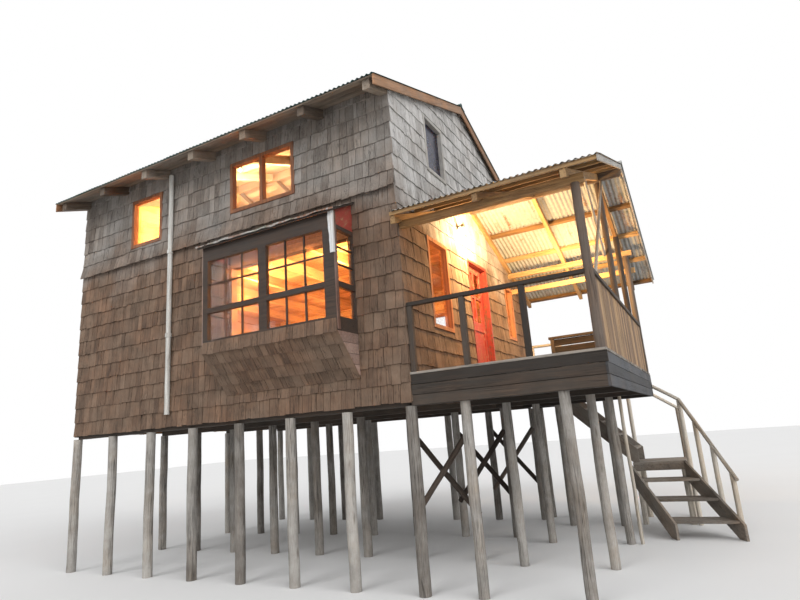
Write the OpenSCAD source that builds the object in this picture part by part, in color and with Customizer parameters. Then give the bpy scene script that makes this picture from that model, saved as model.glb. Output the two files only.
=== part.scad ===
// Shingled timber house on log stilts, with a roofed porch and an outside stair.
// X runs out through the porch, Y from the window side to the far side, Z up.
// The origin lies on level ground, plumb below the near corner of the porch gable.

/* [House] */
// Length of the walls from the porch gable to the rear gable
house_len = 6830; // [5600:10:9000]
// Width of the gable walls
house_wid = 5600; // [5200:10:6600]
// Height of the wall foot above the lowest ground
base_z = 2250; // [1800:10:3200]
// Height of the ground floor above the wall foot
floor_rise = 370; // [340:5:450]
// Height of the roof line above the wall foot, at the outer wall faces
eave_rise = 4520; // [4400:10:5200]
// Height of the upper floor above the wall foot
upper_rise = 2860; // [2840:5:2900]
// Slope of all roofs in degrees
roof_pitch = 20.3; // [16:0.1:24]

/* [Walls] */
// Thickness of the framed walls
wall_t = 120; // [100:5:160]
// Thickness of the shingled skirt below the floor
skirt_t = 40; // [25:1:60]
// Thickness of all floor boards
floor_t = 35; // [22:1:50]

/* [Main roof] */
// Reach of the main roof past the side walls
eave_over = 580; // [300:10:800]
// Reach of the main roof past the gable walls
verge_over = 100; // [60:5:200]
// Width of a rafter
rafter_w = 120; // [80:5:120]
// Depth of a rafter
rafter_d = 140; // [100:5:180]
// Number of spaces between the rafters
rafter_bays = 6; // [4:1:9]
// Thickness of the roof boards
roof_board_t = 22; // [16:1:30]
// Width of the ridge board between the rafters
ridge_board_w = 44; // [30:1:60]
// Depth of the verge boards
verge_board_d = 150; // [100:5:200]
// Thickness of the verge boards
verge_board_t = 24; // [16:1:36]

/* [Corrugated sheets] */
// Distance from wave to wave
wave_pitch = 76; // [60:1:120]
// Height of a wave
wave_h = 17; // [12:1:24]
// Thickness of the sheet metal
sheet_t = 1.6; // [1:0.1:3]
// Reach of the sheets past the verge boards
sheet_over = 20; // [5:1:40]
// Width of each wing of a ridge cap
cap_wing = 170; // [120:5:260]
// Radius of the roll along a ridge cap
cap_roll = 42; // [30:1:60]

/* [Porch] */
// Reach of the deck from the gable wall
deck_out = 2400; // [2000:10:3200]
// Distance from the far wall to the far side of the deck
deck_in = 630; // [500:10:900]
// Thickness of the deck boards
deck_t = 30; // [22:1:45]
// Height of the hand rail above the deck
rail_h = 910; // [800:5:1100]
// Width of a hand rail
rail_w = 80; // [60:1:100]
// Depth of a hand rail
rail_d = 50; // [35:1:70]
// Radius of a corner post
corner_post_r = 55; // [45:1:70]
// Radius of a post between the corners
mid_post_r = 50; // [35:1:55]
// Radius of the slender braces at the outer end of the porch
slim_r = 22; // [15:1:30]
// Height of the porch ridge line above the wall foot
porch_ridge_rise = 3630; // [3500:10:3800]
// Place of the porch ridge across the gable
porch_ridge_y = 2900; // [2700:10:3100]
// Reach of the porch roof from the gable wall
porch_out = 2700; // [2600:10:3600]
// Reach of the porch roof past the near side of the deck
porch_near_over = 250; // [100:10:400]
// Reach of the porch roof past the far side of the deck
porch_far_over = 1330; // [1100:10:1500]
// Width of a porch rafter
porch_rafter_w = 70; // [50:1:90]
// Depth of a porch rafter
porch_rafter_d = 110; // [80:5:140]
// Width of a porch purlin
purlin_w = 75; // [50:1:100]
// Depth of a porch purlin
purlin_d = 50; // [40:1:70]
// Depth of the porch verge boards
porch_verge_d = 75; // [60:1:120]
// Width of the beams on the porch posts
beam_w = 90; // [70:1:110]
// Depth of the beams on the porch posts
beam_d = 100; // [80:1:140]

/* [Stilts] */
// Radius of a house stilt at its foot
stilt_r = 75; // [60:1:100]
// Radius of a deck stilt at its foot
deck_stilt_r = 65; // [50:1:80]
// Share of its foot radius that a stilt has at its head
stilt_taper = 0.85; // [0.7:0.01:1]
// Number of spaces between the stilts along the house
stilt_bays = 7; // [5:1:9]
// Number of stilt rows across the house
stilt_rows = 4; // [3:1:5]
// Width of the bearers on the stilts
bearer_w = 150; // [120:5:180]
// Depth of the bearers on the stilts
bearer_d = 200; // [150:5:240]
// Width of a floor joist
joist_w = 70; // [50:1:90]
// Depth of the upper floor joists
upper_joist_d = 180; // [140:5:220]
// Radius of the crossed braces
brace_r = 45; // [30:1:60]

/* [Windows] */
// Width of the timbers of a window frame
frame_w = 60; // [45:1:80]
// Thickness of a pane
glass_t = 5; // [3:1:8]
// Room round a frame in its opening
frame_gap = 0.3; // [0.1:0.1:2]
// Width of the upper double window
side_win_w = 1320; // [1000:10:1500]
// Height of the upper double window
side_win_h = 880; // [700:10:950]
// Height of the upper window sills above the wall foot
side_sill = 3300; // [3200:10:3400]
// Height of the lower window sills above the wall foot
low_sill = 1330; // [1200:10:1400]
// Width of the narrow gable windows
gable_win_w = 740; // [600:10:800]

/* [Bay window] */
// Reach of the bay past the side wall
bay_out = 500; // [350:10:650]
// Width of the bay
bay_w = 2400; // [2000:10:2600]
// Distance from the porch gable to the bay
bay_x = 720; // [500:10:900]
// Height of the bay's lower edge at its front above the wall foot
bay_skirt = 970; // [900:10:1050]
// Height of the lowest panes above the wall foot
bay_sill = 1160; // [1120:10:1400]
// Height of the head of the panes above the wall foot
bay_head = 2370; // [2300:10:2400]
// Height of the bay roof at its front above the wall foot
bay_eave = 2600; // [2550:10:2640]
// Width of the bay's post on the side away from the porch
bay_post = 100; // [70:1:120]
// Width of the bay's middle post
bay_mid_post = 145; // [90:5:180]
// Width of the bay's post on the porch side
bay_porch_post = 175; // [90:5:200]
// Thickness of the bay boards
bay_board = 30; // [20:1:45]

/* [Door] */
// Width of the door opening in the wall
door_w = 940; // [840:10:1000]
// Height of the door opening above the floor
door_h = 2130; // [2050:10:2140]
// Distance from the near side to the door opening
door_y = 2480; // [2400:10:2600]
// Thickness of the door frame
door_frame_t = 45; // [35:1:60]
// Thickness of the door leaf
leaf_t = 44; // [36:1:55]
// Running gap round the door leaf
leaf_gap = 7; // [7:0.5:10]
// Running gap of the hinge pins, on the radius
pin_gap = 0.05; // [0.02:0.01:0.1]

/* [Stair] */
// Height of the landing above the lowest ground
landing_z = 1060; // [900:10:1300]
// Number of risers from the landing up to the deck
upper_risers = 6; // [5:1:7]
// Number of risers from the ground up to the landing
lower_risers = 4; // [3:1:5]
// Depth of a tread on the upper flight
upper_going = 270; // [240:5:300]
// Depth of a tread on the lower flight
lower_going = 440; // [300:5:460]
// Turn of the lower flight outward, in degrees
lower_skew = 27; // [10:0.1:30]
// Clear width of the flights
stair_w = 870; // [700:10:900]
// Thickness of a stringer
stringer_t = 40; // [30:1:60]
// Thickness of a tread
tread_t = 38; // [28:1:50]
// Radius of the stair hand rails
stair_rail_r = 32; // [24:1:45]

/* [Hidden] */

touch = 0.3;
eps = 1;
deck_wid = house_wid - deck_in;
rise_ratio = tan(roof_pitch);
slope_v = 1 / cos(roof_pitch);
floor_z = base_z + floor_rise;
upper_z = base_z + upper_rise;
bearer_rise = 150;
joist_d = floor_rise - floor_t - bearer_rise;
bearer_top = floor_z - floor_t - joist_d;
bearer_low = bearer_top - bearer_d;
rafter_v = rafter_d * slope_v;
roof_board_v = roof_board_t * slope_v;
main_ridge = [house_wid / 2, base_z + eave_rise + rise_ratio * house_wid / 2];
porch_ridge = [porch_ridge_y, base_z + porch_ridge_rise];
porch_near = -porch_near_over;
porch_far = deck_wid + porch_far_over;
purlin_v = purlin_d * slope_v;
porch_rafter_v = porch_rafter_d * slope_v;
rafter_step = (house_len - rafter_w) / rafter_bays;
rail_top = floor_z + rail_h;
rail_low = rail_top - rail_d;

// Height of a roof line at the place y across the roof
function line_z(ridge, y) = ridge[1] - rise_ratio * abs(y - ridge[0]);

// Points of a straight strip under a roof line from y0 to y1
function strip(ridge, y0, y1, lo, hi) = [
    [y0, line_z(ridge, y0) + lo],
    [y1, line_z(ridge, y1) + lo],
    [y1, line_z(ridge, y1) + hi],
    [y0, line_z(ridge, y0) + hi]
];

// Stretches a shape drawn in Y and Z along X
module along_x(x0, x1) {
    translate([x0, 0, 0]) rotate([90, 0, 90]) linear_extrude(x1 - x0) children();
}

// Stretches a shape drawn in X and Z along Y
module along_y(y0, y1) {
    translate([0, y1, 0]) rotate([90, 0, 0]) linear_extrude(y1 - y0) children();
}

// A box from its lowest to its highest corner
module block(lo, hi) {
    translate(lo) cube(hi - lo);
}

// A straight bar under a roof line, from x0 to x1
module roof_bar(ridge, x0, x1, y0, y1, lo, hi) {
    along_x(x0, x1) polygon(strip(ridge, y0, y1, lo, hi));
}

// A round log between two points
module log_between(a, b, r, r2 = undef) {
    d = b - a;
    run = norm([d[0], d[1]]);
    translate(a)
        rotate([0, atan2(run, d[2]), atan2(d[1], d[0])])
            cylinder(h = norm(d), r1 = r, r2 = is_undef(r2) ? r : r2, $fn = 32);
}

/* Windows. Each is [centre along the wall, sill above the wall foot, width, height, panes]. */
near_windows = [
    [-2370, side_sill, side_win_w, side_win_h, 2],
    [-5060, side_sill - 60, 800, side_win_h + 40, 1]
];
far_windows = [
    [-2370, side_sill, side_win_w, side_win_h, 2],
    [-5060, side_sill, 800, side_win_h, 1],
    [-2370, low_sill, side_win_w, 960, 2],
    [-5060, low_sill, 800, 960, 1]
];
porch_window = [1240, 1070, gable_win_w, 1400, 1];
strip_window = [4700, 1300, 500, 1100, 1];
gable_window = [1500, 3640, gable_win_w, 1000, 1];
rear_windows = [
    [house_wid / 2, 3500, gable_win_w, 1000, 1],
    [1500, low_sill, side_win_w, 960, 2],
    [4100, low_sill, side_win_w, 960, 2]
];

// A window opening, through a side wall from y0 to y1
module side_hole(w, y0, y1) {
    block(
        [w[0] - w[2] / 2, y0, base_z + w[1]],
        [w[0] + w[2] / 2, y1, base_z + w[1] + w[3]]
    );
}

// A window opening, through a gable wall from x0 to x1
module gable_hole(w, x0, x1) {
    block(
        [x0, w[0] - w[2] / 2, base_z + w[1]],
        [x1, w[0] + w[2] / 2, base_z + w[1] + w[3]]
    );
}

// Outline of a window frame and of its mullions, drawn in width and height
module frame_outline(w) {
    pane_w = (w[2] - frame_w * (w[4] + 1)) / w[4];
    difference() {
        translate([-w[2] / 2 + frame_gap, frame_gap])
            square([w[2] - 2 * frame_gap, w[3] - 2 * frame_gap]);
        for (i = [0:w[4] - 1])
            translate([-w[2] / 2 + frame_w + i * (pane_w + frame_w), frame_w])
                square([pane_w, w[3] - 2 * frame_w]);
    }
}

// Outline of the panes of a window, drawn in width and height
module pane_outline(w) {
    pane_w = (w[2] - frame_w * (w[4] + 1)) / w[4];
    for (i = [0:w[4] - 1])
        translate([-w[2] / 2 + frame_w + i * (pane_w + frame_w), frame_w])
            square([pane_w, w[3] - 2 * frame_w]);
}

// Reach of a window frame past the wall, its depth, and the depth of its panes in the wall
frame_out = 25;
frame_depth = 95;
glass_in = 45;

// A shape of a window, set in a side wall with its front at y0
module in_side_wall(w, y0, depth) {
    translate([w[0], 0, base_z + w[1]]) along_y(y0, y0 + depth) children();
}

// A shape of a window, set in a gable wall with its back at x0
module in_gable_wall(w, x0, depth) {
    translate([0, w[0], base_z + w[1]]) along_x(x0, x0 + depth) children();
}

// The bay's own places
bay_x1 = -bay_x;
bay_x0 = -bay_x - bay_w;
bay_drop = 250;
bay_foot_rise = 390;

// Opening of the bay in the near wall
module bay_hole() {
    block(
        [bay_x0 + bay_post, -eps, base_z + bay_sill],
        [bay_x1 - bay_post, wall_t + eps, base_z + bay_head]
    );
}

// Distances of the rafter ends, the roof boards and the verge boards from the edge of the sheets
rafter_back = 70;
board_back = 20;
verge_back = 10;

// The pairs of rafters, which are also the space that the walls leave for them
module rafter_set() {
    for (i = [0:rafter_bays]) {
        x0 = -rafter_w - i * rafter_step;
        roof_bar(main_ridge, x0, x0 + rafter_w, -eave_over + rafter_back,
            house_wid / 2 - ridge_board_w / 2, -rafter_v, 0);
        roof_bar(main_ridge, x0, x0 + rafter_w, house_wid / 2 + ridge_board_w / 2,
            house_wid + eave_over - rafter_back, -rafter_v, 0);
    }
}

// A side wall with its foot at the outer face, for both sides of the house
module side_wall_body() {
    along_x(-house_len, 0) polygon([
        [0, base_z],
        [skirt_t, base_z],
        [skirt_t, floor_z],
        [wall_t, floor_z],
        [wall_t, line_z(main_ridge, wall_t) - touch],
        [0, line_z(main_ridge, 0) - touch]
    ]);
}

module near_wall() {
    color([0.45, 0.42, 0.38])
    difference() {
        side_wall_body();
        for (w = near_windows) side_hole(w, -eps, wall_t + eps);
        bay_hole();
        rafter_set();
    }
}

module far_wall() {
    color([0.45, 0.42, 0.38])
    difference() {
        translate([0, house_wid, 0]) mirror([0, 1, 0]) side_wall_body();
        for (w = far_windows) side_hole(w, house_wid - wall_t - eps, house_wid + eps);
        rafter_set();
    }
}

// Outline of a gable wall above the floor, below the end rafters
module gable_outline(z0) {
    y0 = wall_t;
    y1 = house_wid - wall_t;
    polygon([
        [y0, z0],
        [y1, z0],
        [y1, line_z(main_ridge, y1) - rafter_v - touch],
        [house_wid / 2 + ridge_board_w / 2,
            line_z(main_ridge, house_wid / 2 + ridge_board_w / 2) - rafter_v - touch],
        [house_wid / 2 - ridge_board_w / 2,
            line_z(main_ridge, house_wid / 2 - ridge_board_w / 2) - rafter_v - touch],
        [y0, line_z(main_ridge, y0) - rafter_v - touch]
    ]);
}

module rear_wall() {
    color([0.45, 0.42, 0.38])
    difference() {
        union() {
            along_x(-house_len, -house_len + wall_t) gable_outline(floor_z);
            block([-house_len, skirt_t, base_z],
                [-house_len + skirt_t, house_wid - skirt_t, floor_z]);
        }
        for (w = rear_windows) gable_hole(w, -house_len - eps, -house_len + wall_t + eps);
    }
}

door_head = floor_z + door_h;

module gable_wall_near() {
    color([0.5, 0.42, 0.34])
    difference() {
        block([-wall_t, wall_t, floor_z], [0, door_y, door_head]);
        gable_hole(porch_window, -wall_t - eps, eps);
    }
}

module gable_wall_far() {
    color([0.5, 0.42, 0.34])
    difference() {
        block([-wall_t, door_y + door_w, floor_z], [0, house_wid - wall_t, door_head]);
        gable_hole(strip_window, -wall_t - eps, eps);
    }
}

module gable_wall_upper() {
    color([0.47, 0.44, 0.4])
    difference() {
        along_x(-wall_t, 0) gable_outline(door_head);
        gable_hole(gable_window, -wall_t - eps, eps);
    }
}

module gable_skirt() {
    color([0.4, 0.34, 0.28])
    difference() {
        block([-skirt_t, skirt_t, base_z], [0, house_wid - skirt_t, floor_z]);
        block([-skirt_t - eps, door_y, floor_z - floor_t], [eps, door_y + door_w, floor_z + eps]);
    }
}

// Places of the joists along the house, and along the deck
house_joist_n = 9;
deck_joist_n = 4;
house_joist_step = (house_len - 2 * skirt_t - joist_w) / (house_joist_n - 1);
rim_t = 25;
deck_joist_step = (deck_out - rim_t - joist_w) / (deck_joist_n - 1);

module floor_joists() {
    color([0.35, 0.28, 0.22]) {
        for (i = [0:house_joist_n - 1]) {
            x0 = -skirt_t - joist_w - i * house_joist_step;
            block([x0, skirt_t, bearer_top],
                [x0 + joist_w, house_wid - skirt_t, floor_z - floor_t]);
        }
        for (i = [0:deck_joist_n - 1]) {
            x0 = i * deck_joist_step;
            block([x0, rim_t, bearer_top],
                [x0 + joist_w, deck_wid - rim_t, floor_z - deck_t]);
        }
        for (x0 = [0, platform_out - joist_w])
            block([x0, deck_wid, bearer_top],
                [x0 + joist_w, platform_far, floor_z - deck_t]);
    }
}

module ground_floor() {
    color([0.55, 0.38, 0.22])
    difference() {
        block([-house_len + skirt_t, skirt_t, floor_z - floor_t],
            [0, house_wid - skirt_t, floor_z]);
        block([-skirt_t, -eps, floor_z - floor_t - eps],
            [eps, door_y, floor_z + eps]);
        block([-skirt_t, door_y + door_w, floor_z - floor_t - eps],
            [eps, house_wid + eps, floor_z + eps]);
    }
}

module upper_joists() {
    color([0.5, 0.36, 0.22])
    for (i = [0:rafter_bays + 1]) {
        step = (house_len - 2 * wall_t - joist_w) / (rafter_bays + 1);
        x0 = -wall_t - joist_w - i * step;
        block([x0, wall_t, upper_z - floor_t - upper_joist_d],
            [x0 + joist_w, house_wid - wall_t, upper_z - floor_t]);
    }
}

module upper_floor() {
    color([0.55, 0.38, 0.22])
    block([-house_len + wall_t, wall_t, upper_z - floor_t],
        [-wall_t, house_wid - wall_t, upper_z]);
}

module roof_rafters() {
    color([0.5, 0.36, 0.22]) rafter_set();
}

// Depth of the ridge boards, which reach a little below the rafters
main_ridge_board_d = rafter_v + 30;
porch_ridge_board_d = porch_rafter_v + purlin_v + 20;

// A ridge board under a ridge, from x0 to x1
module ridge_board(ridge, x0, x1, depth) {
    top = ridge[1] - rise_ratio * ridge_board_w / 2;
    block([x0, ridge[0] - ridge_board_w / 2, top - depth],
        [x1, ridge[0] + ridge_board_w / 2, top]);
}

module ridge_boards() {
    color([0.5, 0.36, 0.22]) {
        difference() {
            ridge_board(main_ridge, -house_len - verge_over + verge_board_t,
                verge_over - verge_board_t, main_ridge_board_d);
            along_x(-house_len - verge_over - eps, -house_len + wall_t) gable_outline(floor_z);
            along_x(-wall_t, verge_over + eps) gable_outline(floor_z);
        }
        ridge_board(porch_ridge, 0, porch_out - sheet_over - verge_board_t,
            porch_ridge_board_d);
    }
}

// The two slopes part by this much at the ridge
ridge_slit = 4;

module roof_boards() {
    color([0.42, 0.33, 0.24]) {
        roof_bar(main_ridge, -house_len - verge_over + verge_board_t,
            verge_over - verge_board_t, -eave_over + board_back,
            house_wid / 2 - ridge_slit, touch, touch + roof_board_v);
        roof_bar(main_ridge, -house_len - verge_over + verge_board_t,
            verge_over - verge_board_t, house_wid / 2 + ridge_slit,
            house_wid + eave_over - board_back, touch, touch + roof_board_v);
    }
}

// Points on each wave of a sheet, and one edge of its round waves, raised by lift
wave_steps = 6;
function wave_edge(n, lift) = [for (i = [0:n * wave_steps])
    [i * wave_pitch / wave_steps, wave_h / 2 * (1 - cos(360 * i / wave_steps)) + lift]];
function backwards(list) = [for (i = [len(list) - 1:-1:0]) list[i]];

// A corrugated sheet of n waves that runs down a slope from near the ridge
module corrugated(ridge, lift, far, x0, n, run) {
    length = run * slope_v;
    translate([0, ridge[0], ridge[1] + lift])
        if (far)
            mirror([0, 1, 0]) corrugated_slope(x0, n, length);
        else
            corrugated_slope(x0, n, length);
}

module corrugated_slope(x0, n, length) {
    rotate([roof_pitch, 0, 0])
        translate([x0, -ridge_slit * 3, 0])
            rotate([90, 0, 0])
                linear_extrude(length - ridge_slit * 3)
                    polygon(concat(wave_edge(n, 0), backwards(wave_edge(n, sheet_t))));
}

// The sheets lie this much above the roof lines
main_sheet_lift = roof_board_v + 2 * touch;
porch_sheet_lift = touch;
main_waves = floor((house_len + 2 * verge_over + 2 * sheet_over) / wave_pitch);
main_sheet_x = -house_len / 2 - main_waves * wave_pitch / 2;
porch_sheet_gap = 5;
porch_waves = floor((porch_out - porch_sheet_gap) / wave_pitch);
porch_sheet_x = porch_out - porch_waves * wave_pitch;

module main_roof_near() {
    color([0.2, 0.38, 0.38])
    corrugated(main_ridge, main_sheet_lift, false, main_sheet_x, main_waves,
        house_wid / 2 + eave_over);
}

module main_roof_far() {
    color([0.2, 0.38, 0.38])
    corrugated(main_ridge, main_sheet_lift, true, main_sheet_x, main_waves,
        house_wid / 2 + eave_over);
}

module porch_roof_near() {
    color([0.45, 0.47, 0.42])
    corrugated(porch_ridge, porch_sheet_lift, false, porch_sheet_x, porch_waves,
        porch_ridge[0] - porch_near);
}

module porch_roof_far() {
    color([0.45, 0.47, 0.42])
    corrugated(porch_ridge, porch_sheet_lift, true, porch_sheet_x, porch_waves,
        porch_far - porch_ridge[0]);
}

// A round strip of points of the radius r, from the angle a to the angle b
roll_steps = 20;
function arc(r, a, b) = [for (i = [0:roll_steps])
    [r * cos(a + (b - a) * i / roll_steps), r * sin(a + (b - a) * i / roll_steps)]];

// A folded metal strip with a round roll over a ridge, on the crests of the sheets
cap_t = 2;
module ridge_cap(ridge, lift, x0, x1) {
    seat = lift + (wave_h + sheet_t) * slope_v;
    wing = cap_wing * cos(roof_pitch);
    low = -wing * rise_ratio;
    thick = cap_t * slope_v;
    bend = roof_pitch - asin(cap_t / cap_roll);
    translate([0, ridge[0], ridge[1] + seat])
        along_x(x0, x1)
            polygon(concat(
                [[-wing, low]],
                arc(cap_roll - cap_t, 180 + roof_pitch, -roof_pitch),
                [[wing, low], [wing, low + thick]],
                arc(cap_roll, -bend, 180 + bend),
                [[-wing, low + thick]]
            ));
}

module ridge_caps() {
    color([0.24, 0.4, 0.4]) {
        ridge_cap(main_ridge, main_sheet_lift + touch, main_sheet_x,
            main_sheet_x + main_waves * wave_pitch);
        ridge_cap(porch_ridge, porch_sheet_lift + touch, 0, porch_out);
    }
}

// A pair of verge boards below the roof edge, from y0 over the ridge to y1
module verge_pair(ridge, x0, y0, y1, top, depth) {
    roof_bar(ridge, x0, x0 + verge_board_t, y0, ridge[0] - eps, top - depth * slope_v, top);
    roof_bar(ridge, x0, x0 + verge_board_t, ridge[0] + eps, y1, top - depth * slope_v, top);
}

module verge_boards() {
    color([0.55, 0.36, 0.24]) {
        verge_pair(main_ridge, verge_over - verge_board_t, -eave_over + verge_back,
            house_wid + eave_over - verge_back, roof_board_v, verge_board_d);
        verge_pair(main_ridge, -house_len - verge_over, -eave_over + verge_back,
            house_wid + eave_over - verge_back, roof_board_v, verge_board_d);
        verge_pair(porch_ridge, porch_out - sheet_over - verge_board_t,
            porch_near + verge_back, porch_far - verge_back, 0, porch_verge_d);
    }
}

// Places of the stair, whose upper flight starts at a small platform beside the deck
platform_out = 600;
upper_rise_h = (floor_z - landing_z) / upper_risers;
lower_rise_h = landing_z / lower_risers;
upper_run = (upper_risers - 1) * upper_going;
stair_gap = 10;
stair_y0 = deck_wid + stair_gap;
stair_y1 = stair_y0 + stair_w + 2 * stringer_t;
platform_far = stair_y1;
landing_lap = 90;
landing_x0 = platform_out + upper_run - landing_lap;
landing_x1 = 2740;
landing_y0 = stair_y0;
landing_y1 = stair_y1;
landing_beam = [70, 110];
stringer_spare = 30;
stringer_v = upper_rise_h + tread_t + stringer_spare;
lower_stringer_v = lower_rise_h + tread_t + stringer_spare;

// Rows of bearers across the house, and of the stilts, whose outer rows reach under the walls
row_in = skirt_t + bearer_w / 2;
row_step = (house_wid - 2 * row_in) / (stilt_rows - 1);
stilt_in = 30;
stilt_edge = 45;
stilt_step = (house_len - 2 * stilt_in) / stilt_bays;

// Place of the stilt row j across the house
function stilt_y(j) = j == 0
    ? stilt_edge
    : j == stilt_rows - 1 ? house_wid - stilt_edge : row_in + j * row_step;

deck_rows = spaced(rim_t + bearer_w / 2, deck_wid - rim_t - bearer_w / 2, 3);
deck_stilt_x = [680, deck_out - 530];
deck_far_stilt_x = [680, deck_out - 820];

// A slender pole under the outer end of the deck: its place along X, its row and its radius
deck_pole_x = deck_out - 370;
deck_pole_row = 2;
deck_pole_r = 28;

module bearers() {
    color([0.33, 0.27, 0.21]) {
        for (j = [0:stilt_rows - 1])
            block([-house_len + skirt_t, row_in + j * row_step - bearer_w / 2, bearer_low],
                [-skirt_t, row_in + j * row_step + bearer_w / 2, bearer_top]);
        for (y = deck_rows)
            block([0, y - bearer_w / 2, bearer_low],
                [deck_out - rim_t, y + bearer_w / 2, bearer_top]);
        block([0, platform_far - bearer_w, bearer_low],
            [platform_out, platform_far, bearer_top]);
    }
}

module stilt(x, y, r, h) {
    translate([x, y, 0]) cylinder(h = h, r1 = r, r2 = r * stilt_taper, $fn = 40);
}

module house_stilts() {
    color([0.38, 0.31, 0.24])
    for (i = [0:stilt_bays]) for (j = [0:stilt_rows - 1])
        stilt(-stilt_in - i * stilt_step, stilt_y(j), stilt_r, bearer_low);
}

module deck_stilts() {
    color([0.38, 0.31, 0.24]) {
        for (j = [0:len(deck_rows) - 1])
            for (x = j < len(deck_rows) - 1 ? deck_stilt_x : deck_far_stilt_x)
                stilt(x, deck_rows[j], deck_stilt_r, bearer_low);
        stilt(deck_pole_x, deck_rows[deck_pole_row], deck_pole_r, bearer_low);
        for (x = [deck_stilt_r, platform_out - deck_stilt_r])
            stilt(x, platform_far - bearer_w / 2, deck_stilt_r, bearer_low);
    }
}

// Distance from a stilt's centre to a brace against it at the height z
function brace_reach(z) = stilt_r * (1 - (1 - stilt_taper) * z / bearer_low) + brace_r;

// Two crossed logs on either side of neighbouring stilts of a row
module cross_brace(x0, x1, y) {
    low = 0.28 * bearer_low;
    high = 0.82 * bearer_low;
    log_between([x0, y - brace_reach(low), low], [x1, y - brace_reach(high), high], brace_r);
    log_between([x0, y + brace_reach(high), high], [x1, y + brace_reach(low), low], brace_r);
}

module stilt_braces() {
    color([0.36, 0.3, 0.23])
    for (j = [1:stilt_rows - 1])
        cross_brace(-stilt_in - stilt_step, -stilt_in, stilt_y(j));
}

module deck_floor() {
    color([0.5, 0.4, 0.3]) {
        block([0, 0, floor_z - deck_t], [deck_out, deck_wid, floor_z]);
        block([0, deck_wid + touch, floor_z - deck_t],
            [platform_out, platform_far, floor_z]);
    }
}

module deck_rim_boards() {
    rim_low = bearer_low;
    color([0.36, 0.28, 0.2]) {
        block([0, 0, rim_low], [deck_out, rim_t, floor_z - deck_t]);
        block([deck_out - rim_t, rim_t + touch, rim_low],
            [deck_out, deck_wid - rim_t - touch, floor_z - deck_t]);
        block([0, deck_wid - rim_t, rim_low], [deck_out, deck_wid, floor_z - deck_t]);
    }
}

// Places of the porch posts, set back a little from the edge of the deck
post_back = 5;
post_in = post_back + corner_post_r;
near_post = [deck_out - post_in, post_in];
far_post = [deck_out - post_in, deck_wid - post_in];
mid_post_x = deck_out - post_back - rail_w - mid_post_r;
mid_post_y = [2990, 4450];
near_rail_posts = [50, 780, 1550];

// Start of the far rail, beside the way to the stair
gate_x = 700;
rail_post_w = 70;

module rail_posts() {
    color([0.3, 0.22, 0.16]) {
        for (x = near_rail_posts)
            block([x - rail_post_w / 2, post_in - rail_post_w / 2, floor_z],
                [x + rail_post_w / 2, post_in + rail_post_w / 2, rail_low]);
        block([gate_x, far_post[1] - rail_post_w / 2, floor_z],
            [gate_x + rail_post_w, far_post[1] + rail_post_w / 2, rail_low]);
    }
}

// Depths to which the rails are let into the round posts, and the far rail's free end
rail_let = 12;
outer_let = 25;
rail_nose = 30;

module hand_rails() {
    color([0.3, 0.22, 0.16]) {
        block([0, post_in - rail_w / 2, rail_low],
            [near_post[0] - corner_post_r + rail_let, post_in + rail_w / 2, rail_top]);
        block([deck_out - post_back - rail_w, near_post[1] + corner_post_r - outer_let, rail_low],
            [deck_out - post_back, far_post[1] - corner_post_r + outer_let, rail_top]);
        block([gate_x - rail_nose, far_post[1] - rail_w / 2, rail_low],
            [far_post[0] - corner_post_r + rail_let, far_post[1] + rail_w / 2, rail_top]);
    }
}

board_t = 22;

module outer_rail_boards() {
    x0 = deck_out - post_back - rail_w / 2 - board_t / 2;
    color([0.62, 0.46, 0.3])
    difference() {
        block([x0, near_post[1], floor_z], [x0 + board_t, far_post[1], rail_low]);
        for (p = [near_post, far_post])
            translate([p[0], p[1], 0])
                cylinder(h = rail_top * 2, r = corner_post_r, $fn = 48);
    }
}

module far_rail_boards() {
    color([0.3, 0.23, 0.17])
    block([gate_x + rail_post_w, far_post[1] - board_t / 2, floor_z],
        [far_post[0] - corner_post_r - touch, far_post[1] + board_t / 2, rail_low]);
}

// Underside of the porch rafters, below the roof line
porch_rafter_low = -purlin_v - touch - porch_rafter_v;

// Top of the porch beams, let into the rafters by a notch, and their reach past the deck
notch = 12;
beam_over = 60;
near_beam_top = line_z(porch_ridge, near_post[1]) + porch_rafter_low + notch;
far_beam_top = line_z(porch_ridge, far_post[1]) + porch_rafter_low + notch;
beam_end = deck_out + beam_over;

module beam_set() {
    block([0, near_post[1] - beam_w / 2, near_beam_top - beam_d],
        [beam_end, near_post[1] + beam_w / 2, near_beam_top]);
    block([0, far_post[1] - beam_w / 2, far_beam_top - beam_d],
        [beam_end, far_post[1] + beam_w / 2, far_beam_top]);
}

// A lower cross timber behind the far corner post: its width and depth, and its rise above the deck
low_beam = [70, 100];
low_beam_rise = 1930;

module porch_beams() {
    y0 = far_post[1] + corner_post_r + touch;
    color([0.5, 0.38, 0.26]) {
        beam_set();
        block([0, y0, floor_z + low_beam_rise],
            [beam_end, y0 + low_beam[0], floor_z + low_beam_rise + low_beam[1]]);
    }
}

// Each porch rafter's place along X, and the distance of its ends from the sheets' edge
porch_rafter_x = [0, 1150, mid_post_x - porch_rafter_w / 2];
porch_rafter_back = 40;

module porch_rafter_set() {
    for (x = porch_rafter_x) {
        roof_bar(porch_ridge, x, x + porch_rafter_w, porch_near + porch_rafter_back,
            porch_ridge[0] - ridge_board_w / 2, porch_rafter_low, -purlin_v - touch);
        roof_bar(porch_ridge, x, x + porch_rafter_w, porch_ridge[0] + ridge_board_w / 2,
            porch_far - porch_rafter_back, porch_rafter_low, -purlin_v - touch);
    }
}

module porch_rafters() {
    color([0.55, 0.4, 0.26])
    difference() {
        porch_rafter_set();
        beam_set();
    }
}

// Evenly spaced places from a to b
function spaced(a, b, n) = [for (i = [0:n]) a + (b - a) * i / n];

// Spaces between the purlins of a slope, and their distances from its edge and from the ridge
purlin_bays = 4;
purlin_back = 60;
purlin_ridge_gap = 160;

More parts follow.
